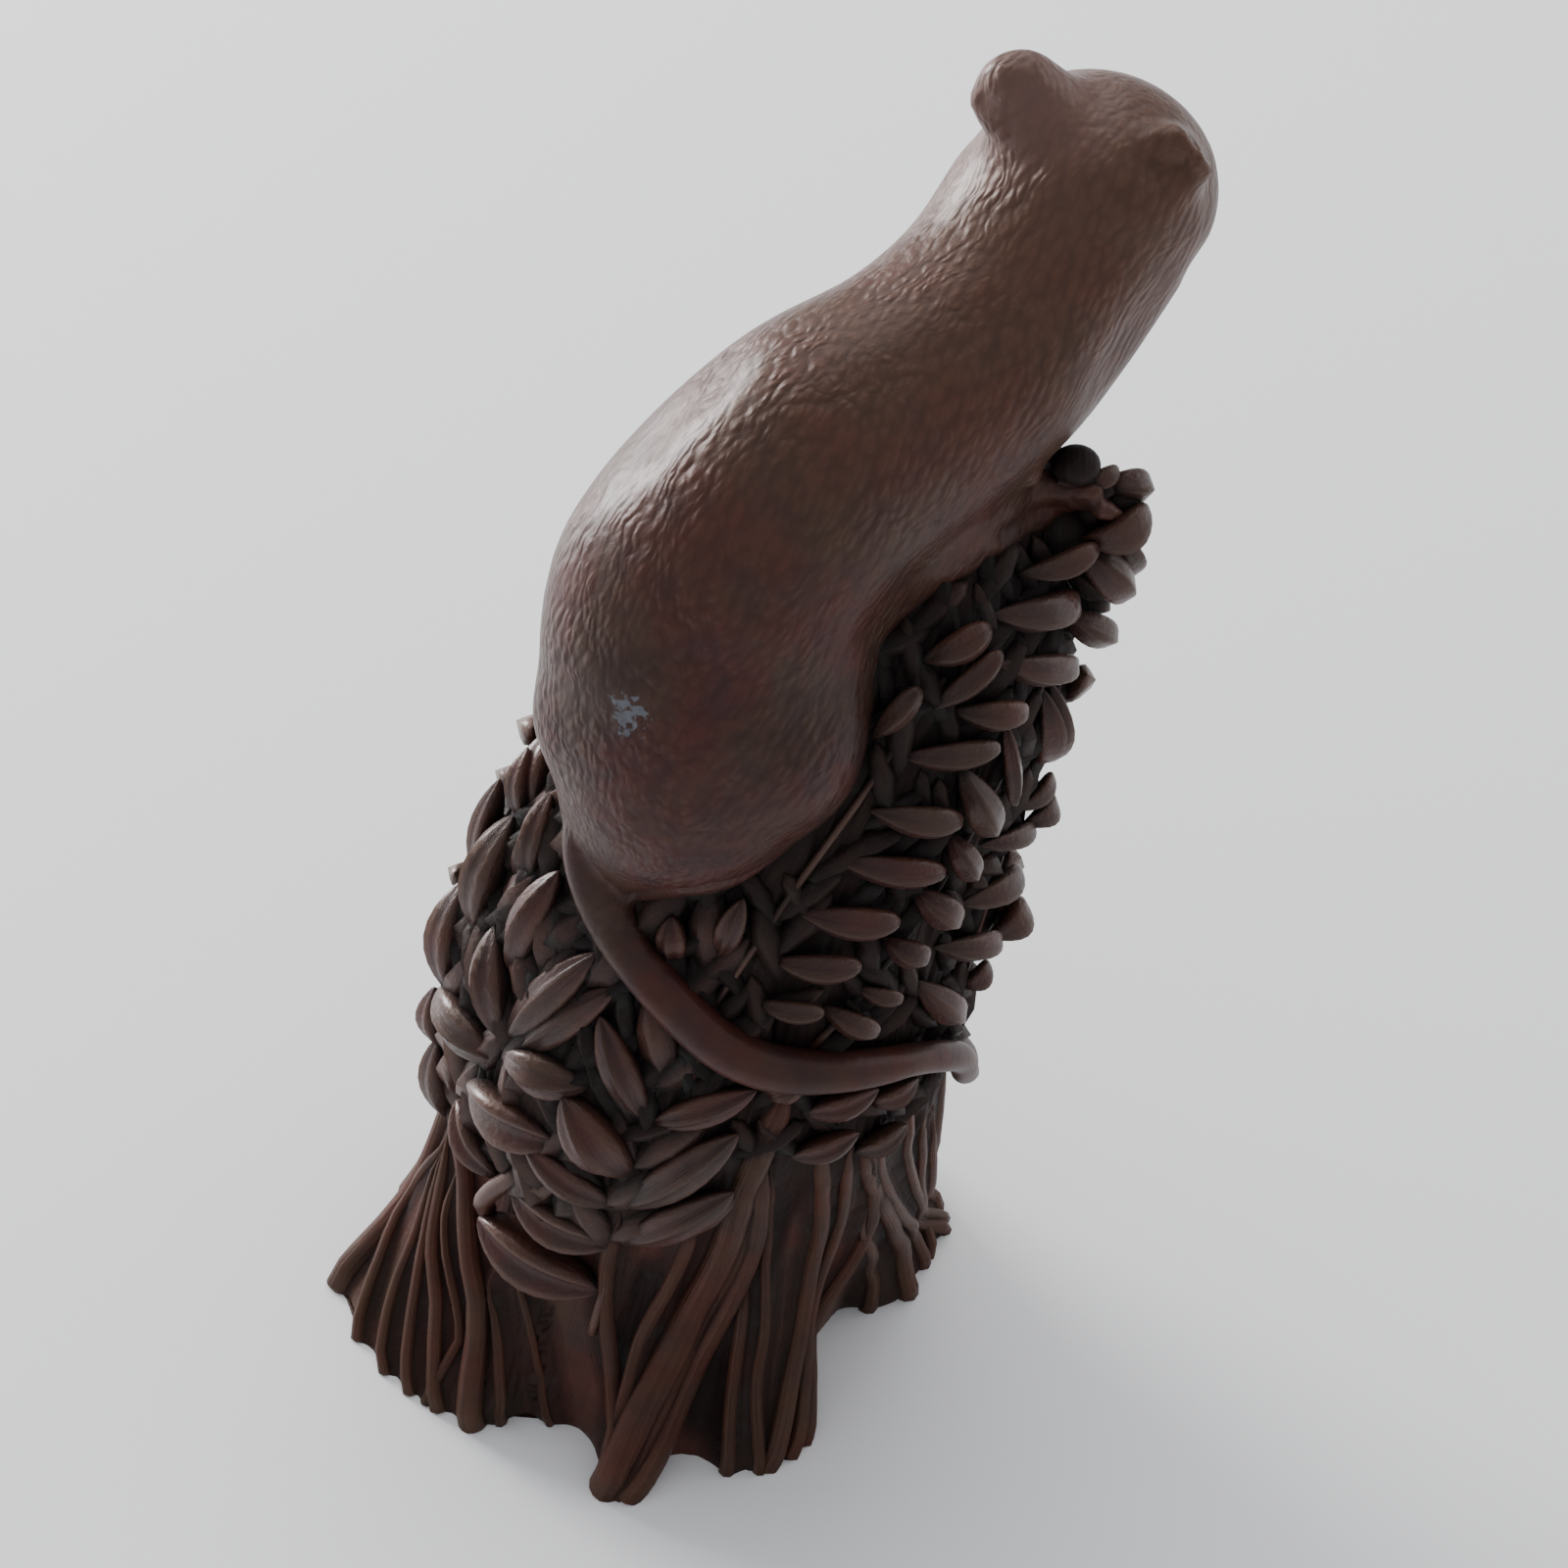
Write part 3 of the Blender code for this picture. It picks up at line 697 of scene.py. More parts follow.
            spot = self.sheaf.at(angle, height)
            gap = min(self.line_gap(spot, *line) for line in marks)
            result -= self.stroke_depth * math.exp(-((gap / self.stroke_half) ** 2))
        # Painted shade: the valleys between stalks and the matted straw get a lower tone than the bare panel
        straw, valley, bare = self.tones
        low, high = self.valley
        tone = mix((valley, bare), held((near - low) / (high - low)))
        # The pockets are pressed in and painted with shade
        for centre, level, turn, reach, depth in self.voids:
            share = math.exp(-(((angle - centre) / turn) ** 4) - ((height - level) / reach) ** 4)
            result -= depth * share
            tone *= 1.0 - share
        return result, mix((straw, tone), skirt)

    def level(self, height: float, ribs: Sequence[Rib]) -> list[tuple[float, float, float]]:
        """Angle, width and crest of each rib at a height, worked out once for each ring."""
        key = round(height, 7)
        if key not in self.levels:
            present = [(rib.centre(height), rib) for rib in ribs if height < rib.top + self.rib_fade]
            scale = math.radians(1.0) * curve(self.sheaf.radii, height)[0]
            rows = []
            for centre, rib in present:
                gaps = [abs(centre - other) for other, _ in present if other != centre]
                full = self.rib_swell * self.spread(height) * rib.half
                wide = min(full, max(self.rib_narrowest, self.rib_room * scale * min(gaps, default=90.0)))
                fade = min(1.0, (rib.top + self.rib_fade - height) / self.rib_fade)
                low, more = self.rib_thinned
                crest = (self.rib_least + self.rib_rise * rib.half) * (low + more * wide / full) * fade
                rows.append((centre, wide, crest))
            self.levels[key] = rows
        return self.levels[key]

    def line_gap(self, spot: Vector, start: Vector, end: Vector) -> float:
        """Distance of a point from a stroke."""
        line = end - start
        share = held((spot - start).dot(line) / line.length_squared)
        return (spot - start - share * line).length


class Husk(Enum):
    """Shape of a grain.

    Each one states the height of its upper side, the depth of its hollow, the height of its keel and how far
    that reaches, how square its edges are, how deep its lower side is, and how blunt its root and its point
    are. The carved leaves are deep enough to stand on the sheaf without a gap.
    """

    SEED = (0.70, 0.0, 0.50, 0.60, 2.2, 0.8, 0.80, 0.50)
    KEEL = (0.60, 0.26, 0.55, 0.38, 3.0, 1.5, 0.75, 0.75)
    CUP = (0.85, 0.75, 0.0, 0.38, 6.0, 1.5, 0.65, 0.60)

    def height(self, across: float) -> float:
        """Height of the upper side at a share of the half width."""
        depth, hollow, keel, wide, square = self.value[:5]
        across = abs(across)
        edge = (1.0 - across**square) ** 0.6
        return edge * (depth - hollow * (1.0 - across) ** 1.2) + keel * max(0.0, 1.0 - across / wide)

    def fullness(self, way: float) -> float:
        """Share of the full width at a share of the length."""
        root, tip = self.value[6:]
        peak = root / (root + tip)
        return (way / peak) ** root * (max(0.0, 1.0 - way) / (1.0 - peak)) ** tip

    def hull(self) -> float:
        """How far the lower side reaches down."""
        return self.value[5]


@dataclass
class WheatEars:
    """Ears of wheat over the sheaf: the grains that show one by one, the hidden ears and the mat beneath."""

    sheaf: Sheaf
    length: float = 0.0105
    width: float = 0.0034
    depth: float = 0.0030
    spacing: float = 0.0031
    lift: float = 0.0010
    root: float = 0.3
    bow: float = 0.30
    crown_from: float = 0.90
    crown_lift: float = 0.0055
    rachis: float = 0.0008
    rachis_lift: float = 0.0003
    samples: int = 60
    rachis_step: int = 4
    spread_jitter: float = 0.14
    size_jitter: float = 0.08
    lift_jitter: float = 0.28
    seed: int = 11
    fine: tuple = (24, 12)
    coarse: tuple = (8, 5)
    thinnest: float = 0.02
    clear: Pair = (0.0001, 0.0009)
    seed_lifts: Pair = (0.0003, 0.0022)
    leaf_lifts: Pair = (0.0003, 0.0018)
    seed_width: float = 1.20
    leaf_width: float = 1.24
    # How much lighter the line along each fine grain's crest is: a painted highlight, also rubbed light
    crest: float = 0.55
    seeds: tuple = (
        ((6, 0.829), (34, 0.859), 2.5), ((5, 0.779), (30, 0.792), 2.8), ((1, 0.731), (31, 0.741), 2.8),
        ((-2, 0.677), (23, 0.691), 3.0), ((-3, 0.627), (17, 0.645), 2.7), ((-3, 0.582), (12, 0.594), 2.1),
        ((17, 0.876), (41, 0.889), 2.7), ((26, 0.918), (66, 0.913, 2.3), 2.9),
        ((18, 0.952), (66, 0.965), 3.4), ((0, 0.906), (16, 0.953), 2.8),
        ((9, 0.872), (23, 0.937), 2.3), ((-4, 0.836), (1, 0.896), 2.1),
        ((32, 0.981), (60, 1.001, 5.0), 2.5), ((60, 1.000, 3.1), (78, 1.004, 7.8), 3.5),
        ((75, 1.020, 3.2), (88, 1.004, 7.6), 2.9), ((68, 1.030, 1.6), (80, 1.032, 5.0), 1.9),
        ((58, 1.040, 0.8), (86, 1.030, 2.0), 2.8), ((62, 0.998, 2.6), (76, 0.978, 7.3), 3.3),
        ((75, 1.000, 4.3), (84, 0.990, 8.5), 2.3), ((62, 0.951, 0.2), (78, 0.936, 5.3), 2.7),
        ((62, 0.891, 0.4), (74, 0.809, 1.5), 2.8), ((58, 0.887, 0.2), (70, 0.812, 1.2), 2.8),
        ((38, 0.875), (49, 0.798), 1.6), ((27, 0.830), (44, 0.774), 3.0),
        ((66, 0.759, 0.4), (78, 0.789, 2.4), 1.9), ((68, 0.745, 1.5), (80, 0.761, 3.2), 2.4),
        ((49, 0.743), (72, 0.741, 2.4), 2.1),
        ((31, 0.770), (43, 0.727), 2.4), ((47, 0.677), (72, 0.682, 2.4), 2.8),
        ((27, 0.713), (42, 0.679), 2.8),
        ((66, 0.605, 1.3), (78, 0.629, 3.3), 3.1), ((42, 0.636), (64, 0.620, 2.8), 2.6),
        ((23, 0.660), (35, 0.647), 2.5), ((59, 0.558), (66, 0.580), 2.2), ((38, 0.603), (55, 0.541), 2.8),
        ((20, 0.608), (31, 0.604), 1.7), ((13, 0.587), (27, 0.569), 2.3),
    )
    keels: tuple = (
        ((-80, 0.586, 1.6), (-86, 0.645, 3.6), 2.5), ((-88, 0.485, 2.0), (-90, 0.596, 4.0), 2.4),
        ((-77, 0.470, 0.8), (-82, 0.585, 2.4), 4.0), ((-72, 0.550), (-70, 0.632), 2.2),
        ((-60, 0.482), (-58, 0.604, 2.2), 3.4), ((-80, 0.390, 0.2), (-88, 0.486, 3.4), 3.9),
        ((-90, 0.375, 2.0), (-92, 0.418, 3.4), 2.4), ((-56, 0.419), (-69, 0.505, 2.4), 3.8),
        ((-54, 0.425), (-40, 0.572, 2.2), 3.3), ((-51, 0.420), (-33, 0.552), 3.0),
        ((-56, 0.398), (-83, 0.384, 2.8), 3.9), ((-87, 0.298, 2.6), (-89, 0.362, 3.8), 2.8),
        ((-84, 0.213, 1.5), (-87, 0.315, 2.9), 3.0), ((-17, 0.371), (-35, 0.429, 2.2), 4.6),
        ((-19, 0.322), (-41, 0.358, 2.2), 3.2), ((-17, 0.432), (-34, 0.520, 2.2), 3.1),
        ((-16, 0.432), (3, 0.502, 2.0), 2.7), ((-18, 0.324), (2, 0.450, 2.2), 3.4),
        ((-17, 0.268), (5, 0.378, 2.2), 3.2), ((-31, 0.446), (-52, 0.420), 3.8),
        ((-15, 0.612), (-15, 0.681), 2.1), ((-24, 0.594), (-28, 0.638), 2.4),
        ((6, 0.485), (13, 0.518), 2.4), ((-66, 0.560), (-74, 0.640), 2.8),
        ((-64, 0.640), (-72, 0.720), 2.8), ((-78, 0.600), (-90, 0.660), 3.0),
        ((-80, 0.690), (-93, 0.750), 3.0), ((17, 0.461), (32, 0.495, 2.0), 2.6),
        ((34, 0.459), (44, 0.488, 2.0), 2.6), ((17, 0.404), (30, 0.442, 2.0), 2.4),
        ((35, 0.386), (45, 0.424, 2.0), 2.4),
    )
    cups: tuple = (
        ((-34, 0.377), (-64, 0.345, 2.2), 4.4), ((-54, 0.245), (-72, 0.292, 2.2), 3.6),
        ((-19, 0.256), (-46, 0.269, 2.2), 3.9), ((-20, 0.172), (-56, 0.190, 2.2), 4.8),
    )
    rachises: tuple = (
        (0.00055, ((-19, 0.120), (-19, 0.200), (-18, 0.300), (-16, 0.400), (-16, 0.470))),
        (0.00050, ((-52, 0.250), (-54, 0.330), (-53, 0.410), (-52, 0.500), (-50, 0.600))),
        (0.00040, ((-12, 0.560), (-8, 0.630), (-4, 0.700), (0, 0.770), (4, 0.840), (10, 0.900))),
        (0.00040, ((14, 0.540), (24, 0.610), (34, 0.690), (41, 0.760), (48, 0.840), (56, 0.900))),
        (0.00045, ((60, 0.540), (68, 0.640), (73, 0.740), (76, 0.840), (74, 0.930))),
    )
    stub: tuple = ((-44, 0.300, 0.0010), (-51, 0.256, 0.0022), (-55, 0.220, 0.0024), (-56, 0.198, 0.0014))
    stub_radius: float = 0.0010

    # Grains painted dark as shade, that fill the crown behind the others
    fillers: tuple = (
        ((72, 1.000, 2.6), (84, 1.000, 6.4), 3.4), ((62, 0.985, 1.6), (80, 0.972, 5.0), 3.4),
        ((66, 1.020, 1.0), (84, 1.015, 4.4), 3.2), ((70, 0.960, 1.0), (86, 0.955, 4.0), 3.2),
    )
    # Hidden ears: how far the grains of each side stand away, then angle, height and lift along its course
    ears: tuple = (
        ((18, 40), (
            (-112, 0.22, -0.001), (-111, 0.34, -0.001), (-112, 0.48, -0.001), (-113, 0.62, -0.001),
            (-112, 0.78, -0.001),
        )),
        ((18, 20), ((-88, 0.62, -0.001), (-90, 0.67, -0.001), (-91, 0.72, -0.001), (-92, 0.77, -0.001))),
        ((22, 44), ((-60, 0.64, 0), (-66, 0.72, 0), (-72, 0.80, 0), (-78, 0.88, 0))),
        ((40, 40), (
            (87, 0.44, -0.0006), (92, 0.58, -0.0008), (97, 0.70, -0.001), (99, 0.82, -0.0012),
            (104, 0.97, 0),
        )),
        ((45, 45), ((106, 0.38, 0), (112, 0.50, 0), (120, 0.64, 0), (128, 0.80, 0), (134, 0.98, 0))),
        ((45, 45), ((138, 0.33, 0), (143, 0.46, 0), (150, 0.60, 0), (156, 0.78, 0), (162, 0.98, 0))),
        ((45, 45), ((170, 0.30, 0), (174, 0.44, 0), (180, 0.58, 0), (186, 0.77, 0), (190, 0.98, 0))),
        ((45, 45), ((202, 0.30, 0), (206, 0.44, 0), (211, 0.60, 0), (216, 0.77, 0), (220, 0.97, 0))),
        ((45, 45), ((234, 0.28, 0), (238, 0.42, 0), (242, 0.56, 0), (246, 0.74, 0), (250, 0.95, 0))),
    )

    # Balls painted dark as shade, that close the crown: angle, height and lift, then half sizes and tone
    mounds: tuple = (
        ((70, 0.996, 0.0009), (0.0033, 0.0034, 0.0038), 0.0),
        ((80, 1.004, 0.0050), (0.0020, 0.0020, 0.0019), 0.1),
        ((73, 1.003, 0.0030), (0.0016, 0.0017, 0.0017), 0.1),
        ((70, 1.048, 0.0016), (0.0022, 0.0020, 0.0017), 0.06),
    )
    # How light each kind is at its root and at its point: painted shade, darkest at the roots and on the
    # leaves that lie behind
    grain_tones: Pair = (0.30, 1.0)
    leaf_tones: Pair = (0.42, 0.90)
    mat_tones: Pair = (0.05, 0.34)
    ear_tones: Pair = (0.35, 0.9)
    rachis_tones: Pair = (0.7, 0.6)
    filler_tones: Pair = (0.0, 0.25)
    rachis_faces: tuple = (8, 24)
    stub_faces: tuple = (12, 8)
    mat_heights: Pair = (0.40, 0.99)
    mat_rows: int = 15
    mat_columns: int = 34
    mat_turns: Pair = (22.0, 58.0)
    mat_sizes: Pair = (0.7, 1.0)
    mat_widths: Pair = (0.8, 1.15)
    mat_lifts: Pair = (-0.0010, 0.0002)
    mat_width: float = 0.0026
    thatch_angles: Pair = (-98.0, -8.0)
    thatch_heights: Pair = (0.24, 0.62)
    thatch_rows: int = 7
    thatch_columns: int = 12
    thatch_turns: Pair = (14.0, 44.0)
    thatch_sizes: Pair = (0.8, 1.1)
    thatch_widths: Pair = (0.85, 1.15)
    thatch_lifts: Pair = (-0.0012, -0.0001)
    thatch_width: float = 0.0038
    # How light the thatch is at its root and at its point: painted shade
    thatch_tones: Pair = (0.40, 0.78)
    thatch_faces: tuple = (12, 7)

    def build(self) -> bpy.types.Object:
        """Make every ear, grain and leaf.

        Returns:
            The piece.
        """
        form = Form()
        rng = random.Random(self.seed)
        self.mat(form, rng)
        self.thatch(form, rng)
        for spreads, path in self.ears:
            self.ear(form, rng, spreads, path)
        sides, rings = self.rachis_faces
        for radius, route in self.rachises:
            places = sampled(route, rings + 1)
            points = [self.sheaf.at(angle, height, self.rachis_lift) for angle, height in places]
            inward = -self.sheaf.outward(*places[0])
            form.tube(points, [radius] * len(points), sides, inward, self.rachis_tones)
        for rows, husk, lifts, factor, tones in (
            (self.seeds, Husk.SEED, self.seed_lifts, self.seed_width, self.grain_tones),
            (self.keels, Husk.KEEL, self.leaf_lifts, self.leaf_width, self.leaf_tones),
            (self.cups, Husk.CUP, self.leaf_lifts, self.leaf_width, self.leaf_tones),
            (self.fillers, Husk.SEED, self.seed_lifts, 1.0, self.filler_tones),
        ):
            for root, tip, width in rows:
                start, end = (self.spot(*entry) for entry in zip((root, tip), lifts, self.clear))
                out = self.sheaf.outward(*root[:2])
                self.grain(form, start, end, out, 0.001 * width * factor, husk, self.fine, tones)
        for place, halves, tone in self.mounds:
            form.ball(Matrix.Translation(self.sheaf.at(*place)), halves, tone=tone)
        sides, rings = self.stub_faces
        points = [self.sheaf.at(*place) for place in sampled(self.stub, rings + 1)]
        form.tube(points, [self.stub_radius] * len(points), sides, -self.sheaf.outward(*self.stub[0][:2]))
        return form.piece("wheat_ears")

    def spot(self, place: Sequence[float], lift: float, clear: float) -> Vector:
        """Point over the sheaf, at its own lift in millimetres or at the usual one, clear of the straw."""
        if len(place) > 2:
            lift = 0.001 * place[2]
        return self.sheaf.at(place[0], place[1], max(lift, self.sheaf.bed(*place[:2]) + clear))

    def mat(self, form: Form, rng: random.Random) -> None:
        """Add the half sunk leaves that fill the gaps between the ears, painted dark as shade."""
        for row in range(self.mat_rows):
            for column in range(self.mat_columns):
                height = mix(self.mat_heights, (row + rng.uniform(-0.4, 0.4)) / self.mat_rows)
                angle = 360.0 * (column + 0.5 * (row % 2) + rng.uniform(-0.3, 0.3)) / self.mat_columns
                turn = math.radians(mix(self.mat_turns, rng.random())) * rng.choice((-1, 1))
                length = self.length * rng.uniform(*self.mat_sizes)
                ends = self.leaf_ends(angle, height, turn, length, self.mat_lifts)
                width = self.mat_width * rng.uniform(*self.mat_widths)
                out = self.sheaf.outward(angle, height)
                self.grain(form, *ends, out, width, Husk.SEED, self.coarse, self.mat_tones)

    def thatch(self, form: Form, rng: random.Random) -> None:
        """Add the leaves, painted dark as shade, that close the gaps between the broad ones in front."""
        for row in range(self.thatch_rows):
            for column in range(self.thatch_columns):
                height = mix(self.thatch_heights, (row + rng.uniform(-0.3, 0.3)) / self.thatch_rows)
                share = (column + 0.5 * (row % 2) + rng.uniform(-0.2, 0.2)) / self.thatch_columns
                angle = mix(self.thatch_angles, share)
                turn = math.radians(rng.uniform(*self.thatch_turns)) * (-1 if (row + column) % 2 else 1)
                length = self.length * rng.uniform(*self.thatch_sizes)
                ends = self.leaf_ends(angle, height, turn, length, self.thatch_lifts)
                width = self.thatch_width * rng.uniform(*self.thatch_widths)
                out = self.sheaf.outward(angle, height)
                self.grain(form, *ends, out, width, Husk.KEEL, self.thatch_faces, self.thatch_tones)

    def leaf_ends(
        self, angle: float, height: float, turn: float, length: float, lifts: Pair
    ) -> list[Vector]:
        """Root and point of a leaf that leans by a turn, both lifted off the matted straw."""
        swing = math.degrees(length * math.sin(turn) / self.sheaf.radius(angle, height))
        rise = length * math.cos(turn) / self.sheaf.height
        spots = ((angle, height), (angle + swing, min(height + rise, 1.0)))
        return [self.sheaf.at(*spot, self.sheaf.bed(*spot) + lift) for spot, lift in zip(spots, lifts)]

    def ear(self, form: Form, rng: random.Random, spreads: Pair, path: Sequence[Row]) -> None:
        """Add a rachis with a grain to either side in turn."""
        sheaf = self.sheaf
        samples = sampled(path, self.samples + 1)
        points = [sheaf.at(angle, height, lift + self.rachis_lift) for angle, height, lift in samples]
        middles = points[:: self.rachis_step]
        inward = -sheaf.outward(*samples[0][:2])
        form.tube(middles, [self.rachis] * len(middles), self.rachis_faces[0], inward)
        travelled = 0.0
        right = 0
        for before, point, (angle, height, _) in zip(points, points[1:], samples[1:]):
            travelled += (point - before).length
            if travelled < self.spacing:
                continue
            travelled = 0.0
            right = 1 - right
            out = sheaf.outward(angle, height)
            ahead = (point - before).normalized()
            side = ahead.cross(out) * (1 if right else -1)
            spread = math.radians(spreads[right] * (1.0 + self.spread_jitter * rng.uniform(-1, 1)))
            size = 1.0 + self.size_jitter * rng.uniform(-1, 1)
            lift = self.lift * (1.0 + self.lift_jitter * rng.uniform(-1, 1))
            lift += self.crown_lift * max(0.0, height - self.crown_from) / (1.0 - self.crown_from)
            root = point + side * self.root * self.width
            way = ahead * math.cos(spread) + side * math.sin(spread)
            point_end = root + way * self.length * size + out * lift
            self.grain(form, root, point_end, out, self.width * size, Husk.SEED, self.coarse, self.ear_tones)

    def grain(
        self, form: Form, root: Vector, point: Vector, out: Vector, width: float, husk: Husk, faces: tuple,
        tones: Pair,
    ) -> None:
        """Add one grain from its root to its point.

        Args:
            form: Form to add it to.
            root: Where it starts.
            point: Where it ends.
            out: Direction off the sheaf.
            width: Greatest width.
            husk: Shape across.
            faces: Faces around and along.
            tones: How light it is painted at its root and at its point, lower for painted shade.
        """
        ahead = (point - root).normalized()
        side = ahead.cross(out).normalized()
        up = side.cross(ahead)
        depth = width * self.depth / self.width

        def place(around: float, way: float) -> Vector:
            """Point of the grain, with its rings closer together at both ends."""
            way = 0.5 - 0.5 * math.cos(math.pi * way)
            centre = root.lerp(point, way) + up * self.bow * depth * math.sin(math.pi * way)
            half = 0.5 * max(self.thinnest, husk.fullness(way))
            turn = math.tau * around - math.pi / 2
            across = math.cos(turn)
            rise = husk.height(across) if math.sin(turn) > -1e-6 else husk.hull() * math.sin(turn)
            return centre + half * (side * width * across + up * depth * rise)

        crest = 0.0 if husk is Husk.CUP or faces[0] < self.fine[0] else self.crest
        form.wrap(*faces, place, (3.0 * width, (point - root).length), tones, crest)


@dataclass
class Mouse:
    """The mouse: one blended skin over its body, head, limbs, ears and tail."""

    sheaf: Sheaf
    length: float = 0.080
    heading: float = 42.0
    spine: tuple = (
        (-0.455, -0.045, -0.370, 0.040, 0.040),
        (-0.425, -0.048, -0.315, 0.108, 0.092),
        (-0.377, -0.038, -0.225, 0.160, 0.142),
        (-0.335, -0.048, -0.135, 0.180, 0.158),
        (-0.285, -0.070, -0.025, 0.178, 0.163),
        (-0.180, -0.044, 0.085, 0.159, 0.160),
        (-0.040, -0.012, 0.140, 0.142, 0.144),
        (0.075, 0.001, 0.198, 0.143, 0.130),
        (0.175, -0.004, 0.275, 0.145, 0.126),
    )
    head_turn: float = 66.0
    head_tip: float = 18.0
    head_roll: float = 10.0
    head_centre: tuple = (0.192, 0.004, 0.308)
    skull: tuple = ((0.000, 0.000, -0.002), (0.132, 0.134, 0.118))
    brow: tuple = ((0.085, 0.000, -0.020), (0.105, 0.098, 0.085))
    snout: tuple = ((0.165, 0.000, -0.040), (0.082, 0.050, 0.044))
    nose: tuple = ((0.235, 0.000, -0.043), (0.020, 0.021, 0.018))
    cheek: tuple = ((0.060, 0.066, -0.045), (0.060, 0.050, 0.050))
    eye: tuple = ((0.112, 0.066, 0.026), (0.024, 0.020, 0.024))
    pad: tuple = ((0.190, 0.030, -0.058), (0.040, 0.028, 0.024))
    lobes: tuple = (
        ((-0.080, -0.100, 0.089), (0.036, 0.052, 0.053), (-20.9, -18.8, 52.9)),
        ((-0.062, -0.074, 0.076), (0.052, 0.050, 0.046), (0.0, 0.0, 0.0)),
        ((-0.040, 0.088, 0.080), (0.036, 0.040, 0.038), (-1.8, -36.8, -23.1)),
    )

    # Dabs on the soft form: forward, right, up, reach, and how far it is pushed out or pressed in
    dabs: tuple = (
        (-0.205, 0.128, -0.050, 0.050, -0.010),
        (-0.480, -0.140, -0.185, 0.058, 0.018),
        (-0.420, -0.190, 0.030, 0.060, 0.006),
        (-0.320, -0.150, 0.143, 0.060, -0.012),
        (-0.255, -0.125, 0.203, 0.060, -0.012),
        (0.240, 0.110, 0.400, 0.050, -0.006),
        (0.249, 0.130, 0.337, 0.050, -0.006),
        (0.162, 0.148, 0.244, 0.070, -0.015),
        (0.098, 0.150, 0.191, 0.060, -0.015),
    )

    # Finer touches, in the same measures, on the finished skin
    touches: tuple = (
        (0.076, -0.060, 0.440, 0.022, -0.012),
        (0.204, 0.090, 0.408, 0.020, 0.015),
        (0.208, 0.108, 0.408, 0.012, 0.009),
        (0.212, 0.126, 0.398, 0.010, 0.008),
        (0.226, 0.138, 0.380, 0.010, 0.007),
        (0.236, 0.112, 0.402, 0.016, -0.022),
        (0.188, 0.118, 0.396, 0.022, -0.013),
        (0.176, 0.098, 0.402, 0.018, -0.005),
    )

    # Ridges and grooves: points along each, its reach, and how far it is pushed out or pressed in
    lines: tuple = (
        ((
            (0.000, 0.110, 0.070), (0.020, 0.117, 0.058), (0.045, 0.134, 0.044), (0.060, 0.150, 0.038),
        ), 0.014, 0.010),
        (((0.050, 0.098, 0.062), (0.066, 0.089, 0.037), (0.080, 0.086, 0.022)), 0.014, -0.014),
        (((-0.040, 0.124, 0.020), (0.027, 0.116, 0.010), (0.077, 0.106, -0.016)), 0.010, -0.009),
        ((
            (-0.479, -0.005, -0.340), (-0.466, 0.055, -0.294), (-0.442, 0.085, -0.280),
            (-0.397, 0.101, -0.280), (-0.372, 0.108, -0.268),
        ), 0.007, -0.008),
    )
    paws: tuple = (
        ((0.112, -0.105, -0.075), (0.70, -0.10, -0.70), 0.016),
        ((0.066, 0.134, 0.014), (0.90, 0.20, -0.50), 0.012),
        ((-0.130, -0.170, -0.215), (0.90, 0.00, -0.45), 0.019),
    )
    toe: tuple = (0.034, 0.010)
    right_side: tuple = (
        (-0.325, 0.022, -0.165, 0.126),
        (-0.203, 0.012, -0.032, 0.092),
        (-0.082, 0.028, 0.010, 0.088),
        (0.010, 0.038, -0.003, 0.083),
        (0.045, 0.070, 0.004, 0.060),
        (0.062, 0.093, 0.013, 0.040),
        (0.068, 0.116, 0.018, 0.027),
        (0.070, 0.139, 0.026, 0.017),
    )
    left_arm: tuple = (
        (-0.050, -0.060, 0.060, 0.100),
        (0.030, -0.092, 0.020, 0.062),
        (0.085, -0.105, -0.030, 0.042),
        (0.115, -0.105, -0.075, 0.030),
    )
    left_haunch: tuple = (
        (-0.320, -0.090, -0.130, 0.128),
        (-0.240, -0.130, -0.140, 0.090),
        (-0.190, -0.160, -0.195, 0.050),
        (-0.130, -0.170, -0.215, 0.032),
    )
    tail_ridge: float = 0.10

    # Tail around the sheaf: angle, height, then how far its middle stands off and its radius in millimetres
    tail: tuple = (
        (-54, 0.685, 3.6, 3.0), (-50, 0.655, 3.6, 2.7), (-45, 0.630, 3.1, 2.5), (-39, 0.606, 2.2, 2.4),
        (-31, 0.587, 1.9, 2.3), (-20, 0.565, 1.8, 2.3), (-9, 0.543, 1.8, 2.3), (0, 0.531, 1.8, 2.3),
        (9, 0.526, 1.8, 2.2), (21, 0.525, 1.8, 2.0), (31, 0.523, 1.8, 1.8), (40, 0.518, 1.8, 1.6),
        (51, 0.500, 2.0, 1.55), (60, 0.474, 2.2, 1.5), (67, 0.436, 2.2, 1.4), (74, 0.395, 2.0, 1.3),
        (90, 0.345, 1.7, 1.2), (118, 0.280, 1.5, 1.0), (146, 0.210, 1.4, 0.8), (172, 0.165, 1.2, 0.6),
    )

    # Faces around and rings along the long bodies, and points along the body and the neck for the fur
    body_faces: tuple = (40, 60)
    limb_faces: tuple = (24, 24)
    tail_faces: tuple = (24, 150)
    spine_points: int = 120
    neck_points: int = 40
    coarse_grid: float = 0.0011
    coarse_passes: int = 9
    fine_grid: float = 0.00042
    fine_passes: int = 3
    inflate: float = 0.0003

    # Fur: how far from the body's line it reaches by the tail and elsewhere, how softly it ends, its girth
    fur_reach: Pair = (0.0060, 0.0200)
    fur_fade: float = 0.002
    fur_girth: float = 0.011
    rump_points: int = 12
    batch: int = 4000

